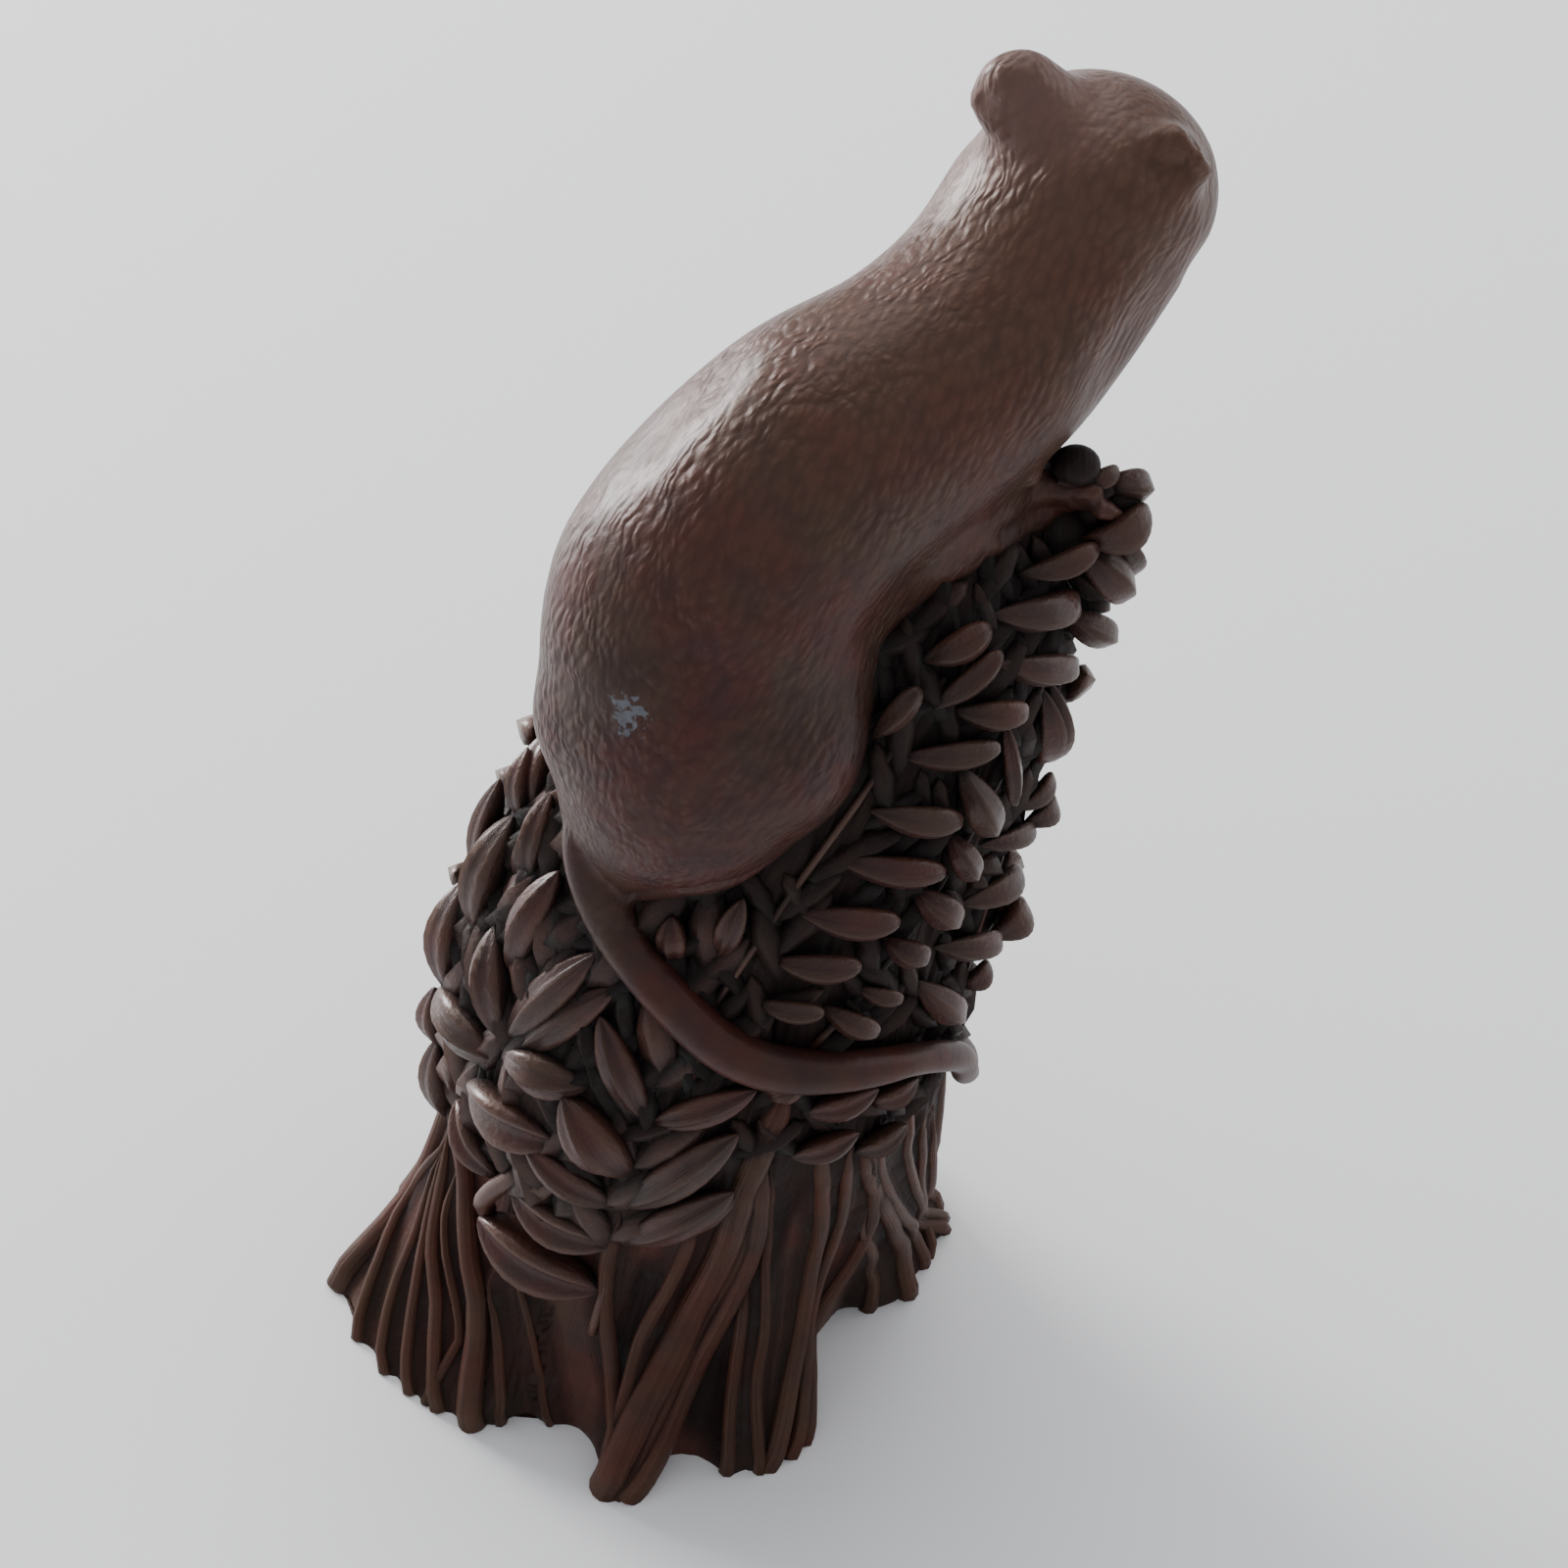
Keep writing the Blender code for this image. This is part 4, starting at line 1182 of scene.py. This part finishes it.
    def at(self, forward: float, right: float, up: float) -> Vector:
        """Point of the mouse from its measures."""
        turn = Matrix.Rotation(math.radians(self.heading), 3, "Z")
        return self.sheaf.middle(1.0) + self.length * (turn @ Vector((forward, -right, up)))

    def head(self) -> Matrix:
        """Placing matrix of the head: X runs ahead to the nose and Z up."""
        turn = Euler([math.radians(angle) for angle in (self.head_roll, self.head_tip, self.head_turn)])
        return Matrix.Translation(self.at(*self.head_centre)) @ turn.to_matrix().to_4x4()

    def on_head(
        self, shape: tuple, side: int = 1, lean: Row = (0.0, 0.0, 0.0)
    ) -> tuple[Matrix, list[float]]:
        """Placing matrix and half sizes of a ball of the head, on its right (1) or left (-1) side."""
        (ahead, right, up), halves = shape
        tilt = Euler([math.radians(angle) for angle in (lean[0] * side, lean[1], lean[2] * side)])
        offset = Matrix.Translation(self.length * Vector((ahead, -right * side, up)))
        return self.head() @ offset @ tilt.to_matrix().to_4x4(), [self.length * half for half in halves]

    def build(self) -> bpy.types.Object:
        """Make the mouse.

        Returns:
            The piece, with a layer of the fur's direction and one of where fur grows.
        """
        form = Form()
        self.add_body(form)
        for shape in (self.skull, self.brow, self.snout):
            form.ball(*self.on_head(shape), 40)
        for side in (1, -1):
            form.ball(*self.on_head(self.cheek, side))
            form.ball(*self.on_head(self.pad, side))
        for centre, halves, lean in self.lobes:
            form.ball(*self.on_head((centre, halves), 1, lean))
        for limb in (self.right_side, self.left_arm, self.left_haunch):
            self.add_limb(form, limb)
        body = fused(form.piece("mouse"), self.coarse_grid, self.coarse_passes)
        self.dab(body, self.dabs, self.inflate)
        details = Form()
        details.bm.from_mesh(body.data)
        details.ball(*self.on_head(self.nose))
        for side in (1, -1):
            details.ball(*self.on_head(self.eye, side))
        for paw in self.paws:
            self.add_toes(details, *paw)
        self.add_tail(details)
        bpy.data.objects.remove(body)
        mouse = fused(details.piece("mouse"), self.fine_grid, self.fine_passes)
        self.dab(mouse, self.touches, 0.0)
        for points, reach, depth in self.lines:
            self.score(mouse, points, reach, depth)
        self.comb(mouse)
        return mouse

    def add_body(self, form: Form) -> None:
        """Body as oval rings square to its spine."""
        sides, count = self.body_faces
        rows = sampled(self.spine, count)
        points = [self.at(*row[:3]) for row in rows]

        def place(around: float, way: float) -> Vector:
            """Point of the body."""
            index = round(way * (count - 1))
            ahead = course(points, index)
            side = ahead.cross(Vector((0, 0, 1))).normalized()
            up = side.cross(ahead)
            turn = math.tau * around
            width, depth = rows[index][3] * self.length, rows[index][4] * self.length
            return points[index] + width * math.cos(turn) * side + depth * math.sin(turn) * up

        form.wrap(sides, count - 1, place, (1.0, 1.0))

    def add_limb(self, form: Form, limb: Sequence[Row]) -> None:
        """Limb as a tube through its balls, round at both ends."""
        sides, count = self.limb_faces
        rows = sampled(limb, count)
        points = [self.at(*row[:3]) for row in rows]
        radii = [row[3] * self.length for row in rows]
        form.tube(points, radii, sides)
        for end in (0, -1):
            form.ball(Matrix.Translation(points[end]), [radii[end]] * 3)

    def dab(self, item: bpy.types.Object, rows: Sequence[Row], inflate: float) -> None:
        """Push a skin out and press it in.

        Args:
            item: Skin.
            rows: Place, reach and depth of each dab, as shares of the mouse's length.
            inflate: How far the whole skin is pushed out, which restores what smoothing took off it.
        """
        places = places_of(item.data)
        moves = np.full(len(places), inflate)
        for *spot, reach, depth in rows:
            gap = np.linalg.norm(places - np.array(self.at(*spot)), axis=1) / (reach * self.length)
            moves += depth * self.length * np.exp(-(gap**2))
        push(item.data, moves)

    def score(self, item: bpy.types.Object, points: Sequence[Row], reach: float, depth: float) -> None:
        """Raise a ridge on a skin or press a groove into it.

        Args:
            item: Skin.
            points: Course of the line, in the mouse's measures.
            reach: How wide it is to either side.
            depth: How far it is pushed out, or pressed in if less than nothing.
        """
        places = places_of(item.data)
        spots = [np.array(self.at(*point)) for point in points]
        gap = np.full(len(places), 1.0)
        for start, end in zip(spots, spots[1:]):
            line = end - start
            share = np.clip((places - start) @ line / (line @ line), 0.0, 1.0)
            gap = np.minimum(gap, np.linalg.norm(places - start - share[:, None] * line, axis=1))
        push(item.data, depth * self.length * np.exp(-((gap / (reach * self.length)) ** 2)))

    def add_toes(self, form: Form, place: Row, way: Row, spread: float) -> None:
        """Four toes side by side at the end of a paw."""
        length, radius = (share * self.length for share in self.toe)
        origin = self.at(0, 0, 0)
        ahead = (self.at(*way) - origin).normalized()
        side = ahead.cross(Vector((0, 0, 1))).normalized()
        for index in range(4):
            across = index - 1.5
            start = self.at(*place) + side * across * spread * self.length
            end = start + (ahead + 0.16 * across * side).normalized() * length
            middle = start.lerp(end, 0.6) + Vector((0, 0, 0.3 * radius))
            form.tube([start, middle, end], [radius, 1.1 * radius, 0.6 * radius], 12)
            form.ball(Matrix.Translation(end), [0.75 * radius] * 3, 12)

    def add_tail(self, form: Form) -> None:
        """Tail with a low ridge, from the rump onto the sheaf and down around it."""
        route = [
            (*self.sheaf.at(angle, height, 0.001 * lift), 0.001 * radius)
            for angle, height, lift, radius in self.tail
        ]
        sides, count = self.tail_faces
        rows = sampled(route, count)
        points = [Vector(row[:3]) for row in rows]
        axis = self.sheaf.middle(0.5)

        def place(around: float, way: float) -> Vector:
            """Point of the tail."""
            index = round(way * (count - 1))
            ahead = course(points, index)
            out = points[index] - axis
            out.z = 0.0
            out = (out - ahead * out.dot(ahead)).normalized()
            turn = math.tau * around
            reach = rows[index][3] * (1.0 + self.tail_ridge * max(0.0, math.cos(turn)) ** 10)
            return points[index] + reach * (math.cos(turn) * out + math.sin(turn) * ahead.cross(out))

        form.wrap(sides, count - 1, place, (1.0, 1.0))

    def comb(self, mouse: bpy.types.Object) -> None:
        """Give each point of the skin its place along and around the body, and how furry it is."""
        line = [self.at(*row[:3]) for row in sampled(self.spine, self.spine_points)]
        nose = self.head() @ Vector((self.length * self.nose[0][0], 0, self.length * self.nose[0][2]))
        count = self.neck_points
        line += [line[-1].lerp(nose, index / count) for index in range(1, count + 1)]
        spine = np.array(line)
        lengths = np.concatenate([[0.0], np.cumsum(np.linalg.norm(np.diff(spine, axis=0), axis=1))])
        places = places_of(mouse.data)
        nearest = np.empty(len(places), dtype=np.int64)
        for start in range(0, len(places), self.batch):
            gap = places[start : start + self.batch, None, :] - spine[None, :, :]
            nearest[start : start + self.batch] = np.argmin((gap**2).sum(axis=2), axis=1)
        ahead = np.gradient(spine, axis=0)
        ahead /= np.linalg.norm(ahead, axis=1)[:, None]
        side = np.cross(ahead, (0, 0, 1))
        side /= np.linalg.norm(side, axis=1)[:, None]
        up = np.cross(side, ahead)
        offset = places - spine[nearest]
        along_it = lengths[nearest] + (offset * ahead[nearest]).sum(axis=1)
        across = (offset * side[nearest]).sum(axis=1)
        above = (offset * up[nearest]).sum(axis=1)
        reach = np.hypot(across, above)
        around = np.arctan2(across, above) * self.fur_girth
        far = np.where(nearest < self.rump_points, *self.fur_reach)
        store(mouse.data, "flow", np.stack([around, along_it, np.ones_like(reach)], axis=1))
        store(mouse.data, "fur", np.clip((far - reach) / self.fur_fade, 0.0, 1.0))


@dataclass
class ShadeAndWear:
    """Reads how open and how raised each point of the pieces is, for painted shade, wear and dirt."""

    reach: float = 0.006
    rays: int = 14
    quick_rays: int = 5
    start: float = 0.00005
    bend: float = 1.6
    seed: int = 3

    def apply(self, pieces: Sequence[bpy.types.Object]) -> None:
        """Write the layers "open" and "raised" on every piece."""
        verts: list[Vector] = []
        faces: list[tuple[int, ...]] = []
        for item in pieces:
            base = len(verts)
            verts += [vert.co for vert in item.data.vertices]
            faces += [tuple(base + index for index in face.vertices) for face in item.data.polygons]
        tree = BVHTree.FromPolygons(verts, faces)
        rng = random.Random(self.seed)
        count = self.rays
        for item in pieces:
            mesh = item.data
            values = np.empty(len(mesh.vertices), dtype=np.float32)
            for index, vert in enumerate(mesh.vertices):
                values[index] = self.openness(tree, vert.co, vert.normal, count, rng)
            store(mesh, "open", self.eased(mesh, values, 2))
            store(mesh, "raised", self.raised(mesh))

    def openness(
        self, tree: BVHTree, place: Vector, normal: Vector, count: int, rng: random.Random
    ) -> float:
        """Share of the space above a point that nothing fills."""
        start = place + normal * self.start
        total = 0.0
        for _ in range(count):
            way = Vector((rng.gauss(0, 1), rng.gauss(0, 1), rng.gauss(0, 1))).normalized() + normal
            hit = tree.ray_cast(start, way.normalized(), self.reach)
            total += 1.0 if hit[0] is None else min(1.0, hit[3] / self.reach)
        return total / count

    def eased(self, mesh: bpy.types.Mesh, values: np.ndarray, rounds: int) -> np.ndarray:
        """Average values with those of their neighbours."""
        ends = ends_of(mesh)
        for _ in range(rounds):
            total = values.astype(np.float64).copy()
            number = np.ones(len(values))
            for one, other in ((0, 1), (1, 0)):
                np.add.at(total, ends[:, one], values[ends[:, other]])
                np.add.at(number, ends[:, one], 1)
            values = (total / number).astype(np.float32)
        return values

    def raised(self, mesh: bpy.types.Mesh) -> np.ndarray:
        """How far each point stands off its neighbours: 0 in a groove, 0.5 on flat ground, 1 on an edge."""
        places, ends = places_of(mesh), ends_of(mesh)
        normals = normals_of(mesh).astype(np.float64)
        bend = np.zeros(len(places))
        number = np.zeros(len(places)) + 1e-9
        for one, other in ((0, 1), (1, 0)):
            gap = places[ends[:, one]] - places[ends[:, other]]
            size = np.linalg.norm(gap, axis=1) + 1e-9
            value = (gap * normals[ends[:, one]]).sum(axis=1) / size
            np.add.at(bend, ends[:, one], value)
            np.add.at(number, ends[:, one], 1)
        bend = self.eased(mesh, (bend / number).astype(np.float32), 1)
        return np.clip(0.5 + bend * self.bend, 0.0, 1.0)


class Graph:
    """The nodes of one material."""

    def __init__(self, name: str) -> None:
        """Start a material that holds only its output."""
        self.material = bpy.data.materials.new(name)
        self.material.use_nodes = True
        self.tree = self.material.node_tree
        self.tree.nodes.clear()

    def node(self, kind: str, settings: dict | None = None, **inputs: object) -> bpy.types.Node:
        """Add a node.

        Args:
            kind: Its type, without the ShaderNode in front.
            settings: Properties of the node, set first.
            inputs: Numbers, colours or links for its sockets, by name with _ for a space.

        Returns:
            The node.
        """
        node = self.tree.nodes.new("ShaderNode" + kind)
        for key, value in (settings or {}).items():
            setattr(node, key, value)
        for key, value in inputs.items():
            socket = node.inputs[int(key[1:])] if key[1:].isdigit() else node.inputs[key.replace("_", " ")]
            if isinstance(value, Value):
                self.tree.links.new(value.socket, socket)
            elif isinstance(value, bpy.types.NodeSocket):
                self.tree.links.new(value, socket)
            else:
                socket.default_value = value
        return node

    def spot(self) -> bpy.types.NodeSocket:
        """Place on the object, in metres."""
        return self.node("TexCoord").outputs["Object"]

    def measure(self, operation: str, one: object, other: object) -> "Value":
        """Number that one Vector Math node reads from two vectors."""
        node = self.node("VectorMath", {"operation": operation}, i0=one, i1=other)
        return Value(self, node.outputs["Value"])

    def part(self, vector: bpy.types.NodeSocket, index: int) -> "Value":
        """One number of a vector."""
        return Value(self, self.node("SeparateXYZ", None, Vector=vector).outputs[index])

    def surface(self, **inputs: object) -> bpy.types.Material:
        """Finish the material with a shader of these inputs."""
        shader = self.node("BsdfPrincipled", None, **inputs)
        self.tree.links.new(shader.outputs[0], self.node("OutputMaterial").inputs[0])
        return self.material

    def layer(self, name: str) -> bpy.types.Node:
        """Read a layer of the mesh."""
        return self.node("Attribute", {"attribute_name": name})

    def number(self, name: str) -> "Value":
        """Read a layer of numbers."""
        return Value(self, self.layer(name).outputs["Fac"])

    def blend(self, share: object, low: object, high: object) -> bpy.types.NodeSocket:
        """Mix two colours.

        Args:
            share: How much of the second.
            low: First colour.
            high: Second colour.

        Returns:
            The colour's socket.
        """
        return self.node("Mix", {"data_type": "RGBA"}, i0=share, i6=low, i7=high).outputs[2]

    def noise(self, scale: float, detail: float, vector: object = None) -> "Value":
        """Noise at so many waves per metre."""
        node = self.node("TexNoise", None, Vector=vector or self.spot(), Scale=scale, Detail=detail)
        return Value(self, node.outputs["Fac"])

    def stretch(self, vector: bpy.types.NodeSocket, factors: Row) -> bpy.types.NodeSocket:
        """Scale a vector along each axis."""
        return self.node("VectorMath", {"operation": "MULTIPLY"}, i0=vector, i1=tuple(factors)).outputs[0]


class Value:
    """A number inside a material, with arithmetic."""

    def __init__(self, graph: Graph, socket: bpy.types.NodeSocket) -> None:
        """Wrap a socket."""
        self.graph = graph
        self.socket = socket

    def math(self, operation: str, *others: object) -> "Value":
        """Result of one Math node."""
        values = {f"i{index}": other for index, other in enumerate((self, *others))}
        return Value(self.graph, self.graph.node("Math", {"operation": operation}, **values).outputs[0])

    def __add__(self, other: object) -> "Value":
        """Sum."""
        return self.math("ADD", other)

    __radd__ = __add__

    def __mul__(self, other: object) -> "Value":
        """Product."""
        return self.math("MULTIPLY", other)

    __rmul__ = __mul__

    def __sub__(self, other: object) -> "Value":
        """Difference."""
        return self.math("SUBTRACT", other)

    def __rsub__(self, other: float) -> "Value":
        """Difference from a number."""
        return (self * -1.0).math("ADD", other)

    def __pow__(self, other: object) -> "Value":
        """Power."""
        return self.math("POWER", other)

    def ramp(self, low: float, high: float) -> "Value":
        """Rise smoothly from 0 to 1 between two values."""
        settings = {"interpolation_type": "SMOOTHSTEP"}
        node = self.graph.node("MapRange", settings, Value=self, From_Min=low, From_Max=high)
        return Value(self.graph, node.outputs["Result"])


@dataclass(frozen=True)
class WearAndLightSpot:
    """Ragged pale spot on the surface: used for chips in the finish and for a patch of painted light."""

    place: Vector
    radius: float
    colour: Colour
    ragged: float = 0.6
    core: float = 0.6
    strength: float = 1.0

    def over(self, graph: Graph, base: bpy.types.NodeSocket) -> bpy.types.NodeSocket:
        """Lay the spot over a colour.

        Args:
            graph: Nodes of the material.
            base: Colour beneath.

        Returns:
            The colour with the spot.
        """
        edge = graph.measure("DISTANCE", graph.spot(), self.place[:]) * (1.0 / self.radius)
        edge = edge + self.ragged * (graph.noise(1.6 / self.radius, 3.0) - 0.5) * 4.0
        share = (1.0 - edge.ramp(self.core, 1.10)) * self.strength
        return graph.blend(share, base, self.colour)


@dataclass(frozen=True)
class Look:
    """How the finish shows on one kind of piece.

    Args:
        shaded: Openness below which it is painted darkest, as shade, and above which it shows its full
            colour.
        deep: How much darker it is than the mouse's back.
        pale: How far it is bleached.
        gloss: How strongly it mirrors the room.
        lacquer: How thick its clear coat is.
        dusty: How much pale dust has settled in its crevices.
        rub: How strongly its raised edges are rubbed light, and how light the painted highlight on its
            crests is.
        lines: Waves per metre of its striation around, along and by tone, if it has any.
    """

    shaded: Pair
    deep: float
    pale: float
    gloss: float
    lacquer: float
    dusty: float
    rub: float
    lines: tuple = ()


LOOKS = {
    Relief.FUR: Look((0.05, 0.70), 0.0, 0.0, 0.18, 0.15, 0.10, 0.20),
    Relief.STRAW: Look((0.18, 0.86), 0.12, 0.12, 0.13, 0.07, 0.30, 0.55, (2600.0, 90.0, 40.0)),
    Relief.GRAIN: Look((0.16, 0.84), 0.34, 0.05, 0.20, 0.32, 0.45, 0.68, (1500.0, 160.0, 40.0)),
}


@dataclass(frozen=True)
class BronzeResin:
    """Dark brown bronze-filled resin, rubbed lighter where it stands proud, with painted shade and painted
    light laid into its colour.
    """

    dark: Colour = (0.0160, 0.0070, 0.0080, 1)
    red: Colour = (0.092, 0.0250, 0.0180, 1)
    olive: Colour = (0.070, 0.0370, 0.0240, 1)
    plum: Colour = (0.040, 0.0210, 0.0250, 1)
    # Colour of the painted shade in crevices and on parts of low tone
    painted_shade: Colour = (0.0150, 0.0108, 0.0104, 1)
    # Rubbed and bleached colour; also the colour of the painted light on the mouse's top and of the painted
    # highlight along crests
    worn_and_lit: Colour = (0.110, 0.054, 0.034, 1)
    dust: Colour = (0.045, 0.052, 0.046, 1)
    metallic: float = 0.15
    grain_axis: tuple = ((0.505, 0.455, 0.733), (0.743, -0.669, 0.0), (0.440, 0.588, -0.680))
    chisel: tuple = (560.0, 1400.0, 1400.0)
    scratch: tuple = (2400.0, 2400.0, 1300.0)
    # Heights between which the mouse is painted lighter, as painted light on its head and shoulders
    lit_heights: Pair = (0.084, 0.130)
    wear_and_light_spots: tuple = ()

    def material(self, relief: Relief) -> bpy.types.Material:
        """Make the finish with the fine surface of one kind of piece.

        Args:
            relief: Fine surface.

        Returns:
            The material.
        """
        graph = Graph(f"bronze_resin_{relief.value}")
        look = LOOKS[relief]
        cloud = graph.noise(110.0, 4.0)
        tint = graph.noise(230.0, 3.0)
        mottle = graph.noise(420.0, 4.0)
        speck = graph.noise(2600.0, 3.0)
        opened = graph.number("open")
        raised = graph.number("raised")
        light = graph.part(graph.layer("flow").outputs["Vector"], 2)
        tone = light.ramp(0.0, 0.8)
        base = graph.blend(cloud.ramp(0.38, 0.64), self.red, self.olive)
        base = graph.blend(tint.ramp(0.44, 0.70) * 0.55, base, self.plum)
        base = graph.blend(mottle.ramp(0.40, 0.72) * 0.22 + look.deep, base, self.dark)
        base = graph.blend(look.pale, base, self.worn_and_lit)
        if relief is Relief.FUR:
            base = self.painted_light_and_shade(graph, base)
        # Painted shade: darker where little space is open above the surface and where the part's tone is
        # low; there it is also more metallic and less coated
        shade = opened.ramp(*look.shaded) * (0.12 + 0.88 * tone)
        base = graph.blend(shade, self.painted_shade, base)
        settled = (1.0 - shade) * graph.noise(240.0, 3.0).ramp(0.56, 0.72)
        base = graph.blend(settled * look.dusty, base, self.dust)
        rub = raised.ramp(0.54, 0.80) * opened.ramp(0.35, 0.75) * (0.35 + 0.65 * speck) * tone
        base = graph.blend(rub * look.rub, base, self.worn_and_lit)
        if relief is not Relief.FUR:
            # Painted highlight, also rubbed light, along the thin crest lines of stalks and grains
            crest = light.ramp(1.02, 1.50) * opened.ramp(0.40, 0.80)
            base = graph.blend(crest * look.rub * 0.8, base, self.worn_and_lit)
        for wear_and_light_spot in self.wear_and_light_spots:
            base = wear_and_light_spot.over(graph, base)
        bump = graph.node("Bump", None, Strength=1.0, Distance=0.001, Height=self.height(graph, relief))
        return graph.surface(
            Base_Color=base,
            Roughness=0.42 + 0.22 * (1.0 - shade) + 0.10 * mottle,
            Metallic=self.metallic + 0.25 * (1.0 - shade) ** 2.0,
            Specular_IOR_Level=look.gloss,
            Normal=bump.outputs["Normal"],
            Coat_Weight=shade * look.lacquer,
            Coat_Roughness=0.22,
        )

    def painted_light_and_shade(self, graph: Graph, base: bpy.types.NodeSocket) -> bpy.types.NodeSocket:
        """Colour of the mouse: painted light on its head and shoulders, painted shade on its rump, and dark
        in the cuts.
        """
        high = graph.part(graph.spot(), 2).ramp(*self.lit_heights)
        base = graph.blend(high * 0.80, base, self.worn_and_lit)
        base = graph.blend(0.28 - high * 0.28, base, self.dark)
        return graph.blend(self.cuts(graph).ramp(0.30, 0.75) * graph.number("fur") * 0.26, base, self.dark)

    def height(self, graph: Graph, relief: Relief) -> Value:
        """Fine surface as a height in millimetres."""
        pitted = graph.noise(1500.0, 3.0) * 0.05
        if relief is Relief.FUR:
            return self.chiselled(graph) * graph.number("fur") + pitted
        flow = graph.layer("flow").outputs["Vector"]
        return graph.noise(1.0, 2.0, graph.stretch(flow, LOOKS[relief].lines)) * 0.16 + pitted

    def chiselled(self, graph: Graph) -> Value:
        """Soft lumps between the chisel cuts, with finer scratches on them."""
        patchy = 0.40 + 0.60 * graph.noise(150.0, 1.0).ramp(0.30, 0.65)
        scratches = graph.noise(1.0, 2.0, graph.stretch(graph.spot(), self.scratch))
        return scratches * 0.03 - self.cuts(graph) * 0.30 * patchy

    def cuts(self, graph: Graph) -> Value:
        """Nearness to the chisel cuts that run along the mouse's back, from 0 between them to about 1."""
        spot = graph.spot()
        shares = [graph.measure("DOT_PRODUCT", spot, axis) for axis in self.grain_axis]
        wave = (graph.noise(260.0, 2.0) - 0.5) * 0.0022
        cells = graph.node(
            "CombineXYZ", None,
            X=(shares[0] + wave) * self.chisel[0], Y=(shares[1] + wave) * self.chisel[1],
            Z=(shares[2] - wave) * self.chisel[2],
        ).outputs[0]
        settings = {"feature": "SMOOTH_F1"}
        pattern = graph.node("TexVoronoi", settings, Vector=cells, Scale=1.0, Smoothness=0.6)
        return Value(graph, pattern.outputs["Distance"])


@dataclass
class Studio:
    """Pale floor, soft window light and the camera."""

    foot: Vector
    lens: float = 99.0
    tilt: float = 45.0
    camera: tuple = (0.0147, -0.2768, 0.3454)
    sky: Colour = (0.86, 0.88, 0.92, 1)
    sky_strength: float = 0.65

    # Lamps: name, place, size and watts
    lamps: tuple = (
        ("window", (-0.70, 0.66, 0.24), 0.34, 16.0),
        ("ceiling", (-0.10, 0.90, 1.30), 1.60, 15.0),
        ("wall", (0.75, 0.30, 0.34), 0.60, 1.4),
    )
    aim: tuple = (0, 0, 0.06)
    sensor: float = 36.0
    floor_half: float = 1.6
    floor_colour: Colour = (0.96, 0.963, 0.975, 1)
    floor_shade: Colour = (0.945, 0.945, 0.95, 1)

    def build(self) -> None:
        """Make the camera, the lights and the floor."""
        scene = bpy.context.scene
        data = bpy.data.cameras.new("camera")
        data.lens = self.lens
        data.sensor_width = self.sensor
        data.clip_start = 0.01
        camera = bpy.data.objects.new("camera", data)
        camera.location = self.foot + Vector(self.camera)
        camera.rotation_euler = (math.radians(self.tilt), 0, 0)
        scene.collection.objects.link(camera)
        scene.camera = camera
        world = bpy.data.worlds.new("room")
        world.use_nodes = True
        back = world.node_tree.nodes["Background"]
        back.inputs["Color"].default_value = self.sky
        back.inputs["Strength"].default_value = self.sky_strength
        scene.world = world
        for name, place, size, watts in self.lamps:
            lamp = bpy.data.lights.new(name, "AREA")
            lamp.energy = watts
            lamp.size = size
            light = bpy.data.objects.new(name, lamp)
            light.location = place
            ray = Vector(self.aim) - light.location
            light.rotation_euler = ray.to_track_quat("-Z", "Y").to_euler()
            scene.collection.objects.link(light)
        form = Form()
        bmesh.ops.create_grid(form.bm, x_segments=1, y_segments=1, size=self.floor_half)
        floor = form.piece("floor")
        graph = Graph("floor")
        tone = graph.blend(graph.noise(9.0, 1.0), self.floor_colour, self.floor_shade)
        floor.data.materials.append(graph.surface(Base_Color=tone, Roughness=0.6))


def main() -> None:
    """Build every piece, dress it and log how many triangles each has."""
    logging.basicConfig(level=logging.INFO, format="%(message)s")
    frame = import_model()
    foot = Vector(frame["record"]["mounts"][0]["pos_m"])
    sheaf = Sheaf(foot=foot)
    climber = Mouse(sheaf)
    finish = BronzeResin(
        wear_and_light_spots=(
            # Patch of painted light on the left of the head, where the window falls, with painted sheen
            WearAndLightSpot(climber.at(0.140, -0.050, 0.420), 0.0130, (0.190, 0.112, 0.100, 1), 0.2, 0.1, 0.5),
            WearAndLightSpot(climber.at(-0.475, -0.007, -0.064), 0.0015, (0.112, 0.116, 0.132, 1), 1.1),
            # A tiny near-white dot near the top of the head
            WearAndLightSpot(climber.at(0.150, -0.046, 0.422), 0.00035, (0.80, 0.74, 0.66, 1), 0.15),
            WearAndLightSpot(sheaf.at(66, 0.580, 0.0024), 0.0007, (0.16, 0.13, 0.11, 1), 0.3),
        )
    )
    Studio(foot=foot).build()
    stalks = Stalks(sheaf).build()
    ears = WheatEars(sheaf).build()
    mouse = climber.build()
    pieces = {Relief.STRAW: stalks, Relief.GRAIN: ears, Relief.FUR: mouse}
    ShadeAndWear().apply(list(pieces.values()))
    for relief, item in pieces.items():
        item.data.materials.append(finish.material(relief))
        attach(item, "root")
        triangles = sum(len(face.vertices) - 2 for face in item.data.polygons)
        log.info("%s: %d triangles", item.name, triangles)
    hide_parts("mouse_on_wheatsheaf")


if __name__ == "__main__":
    main()
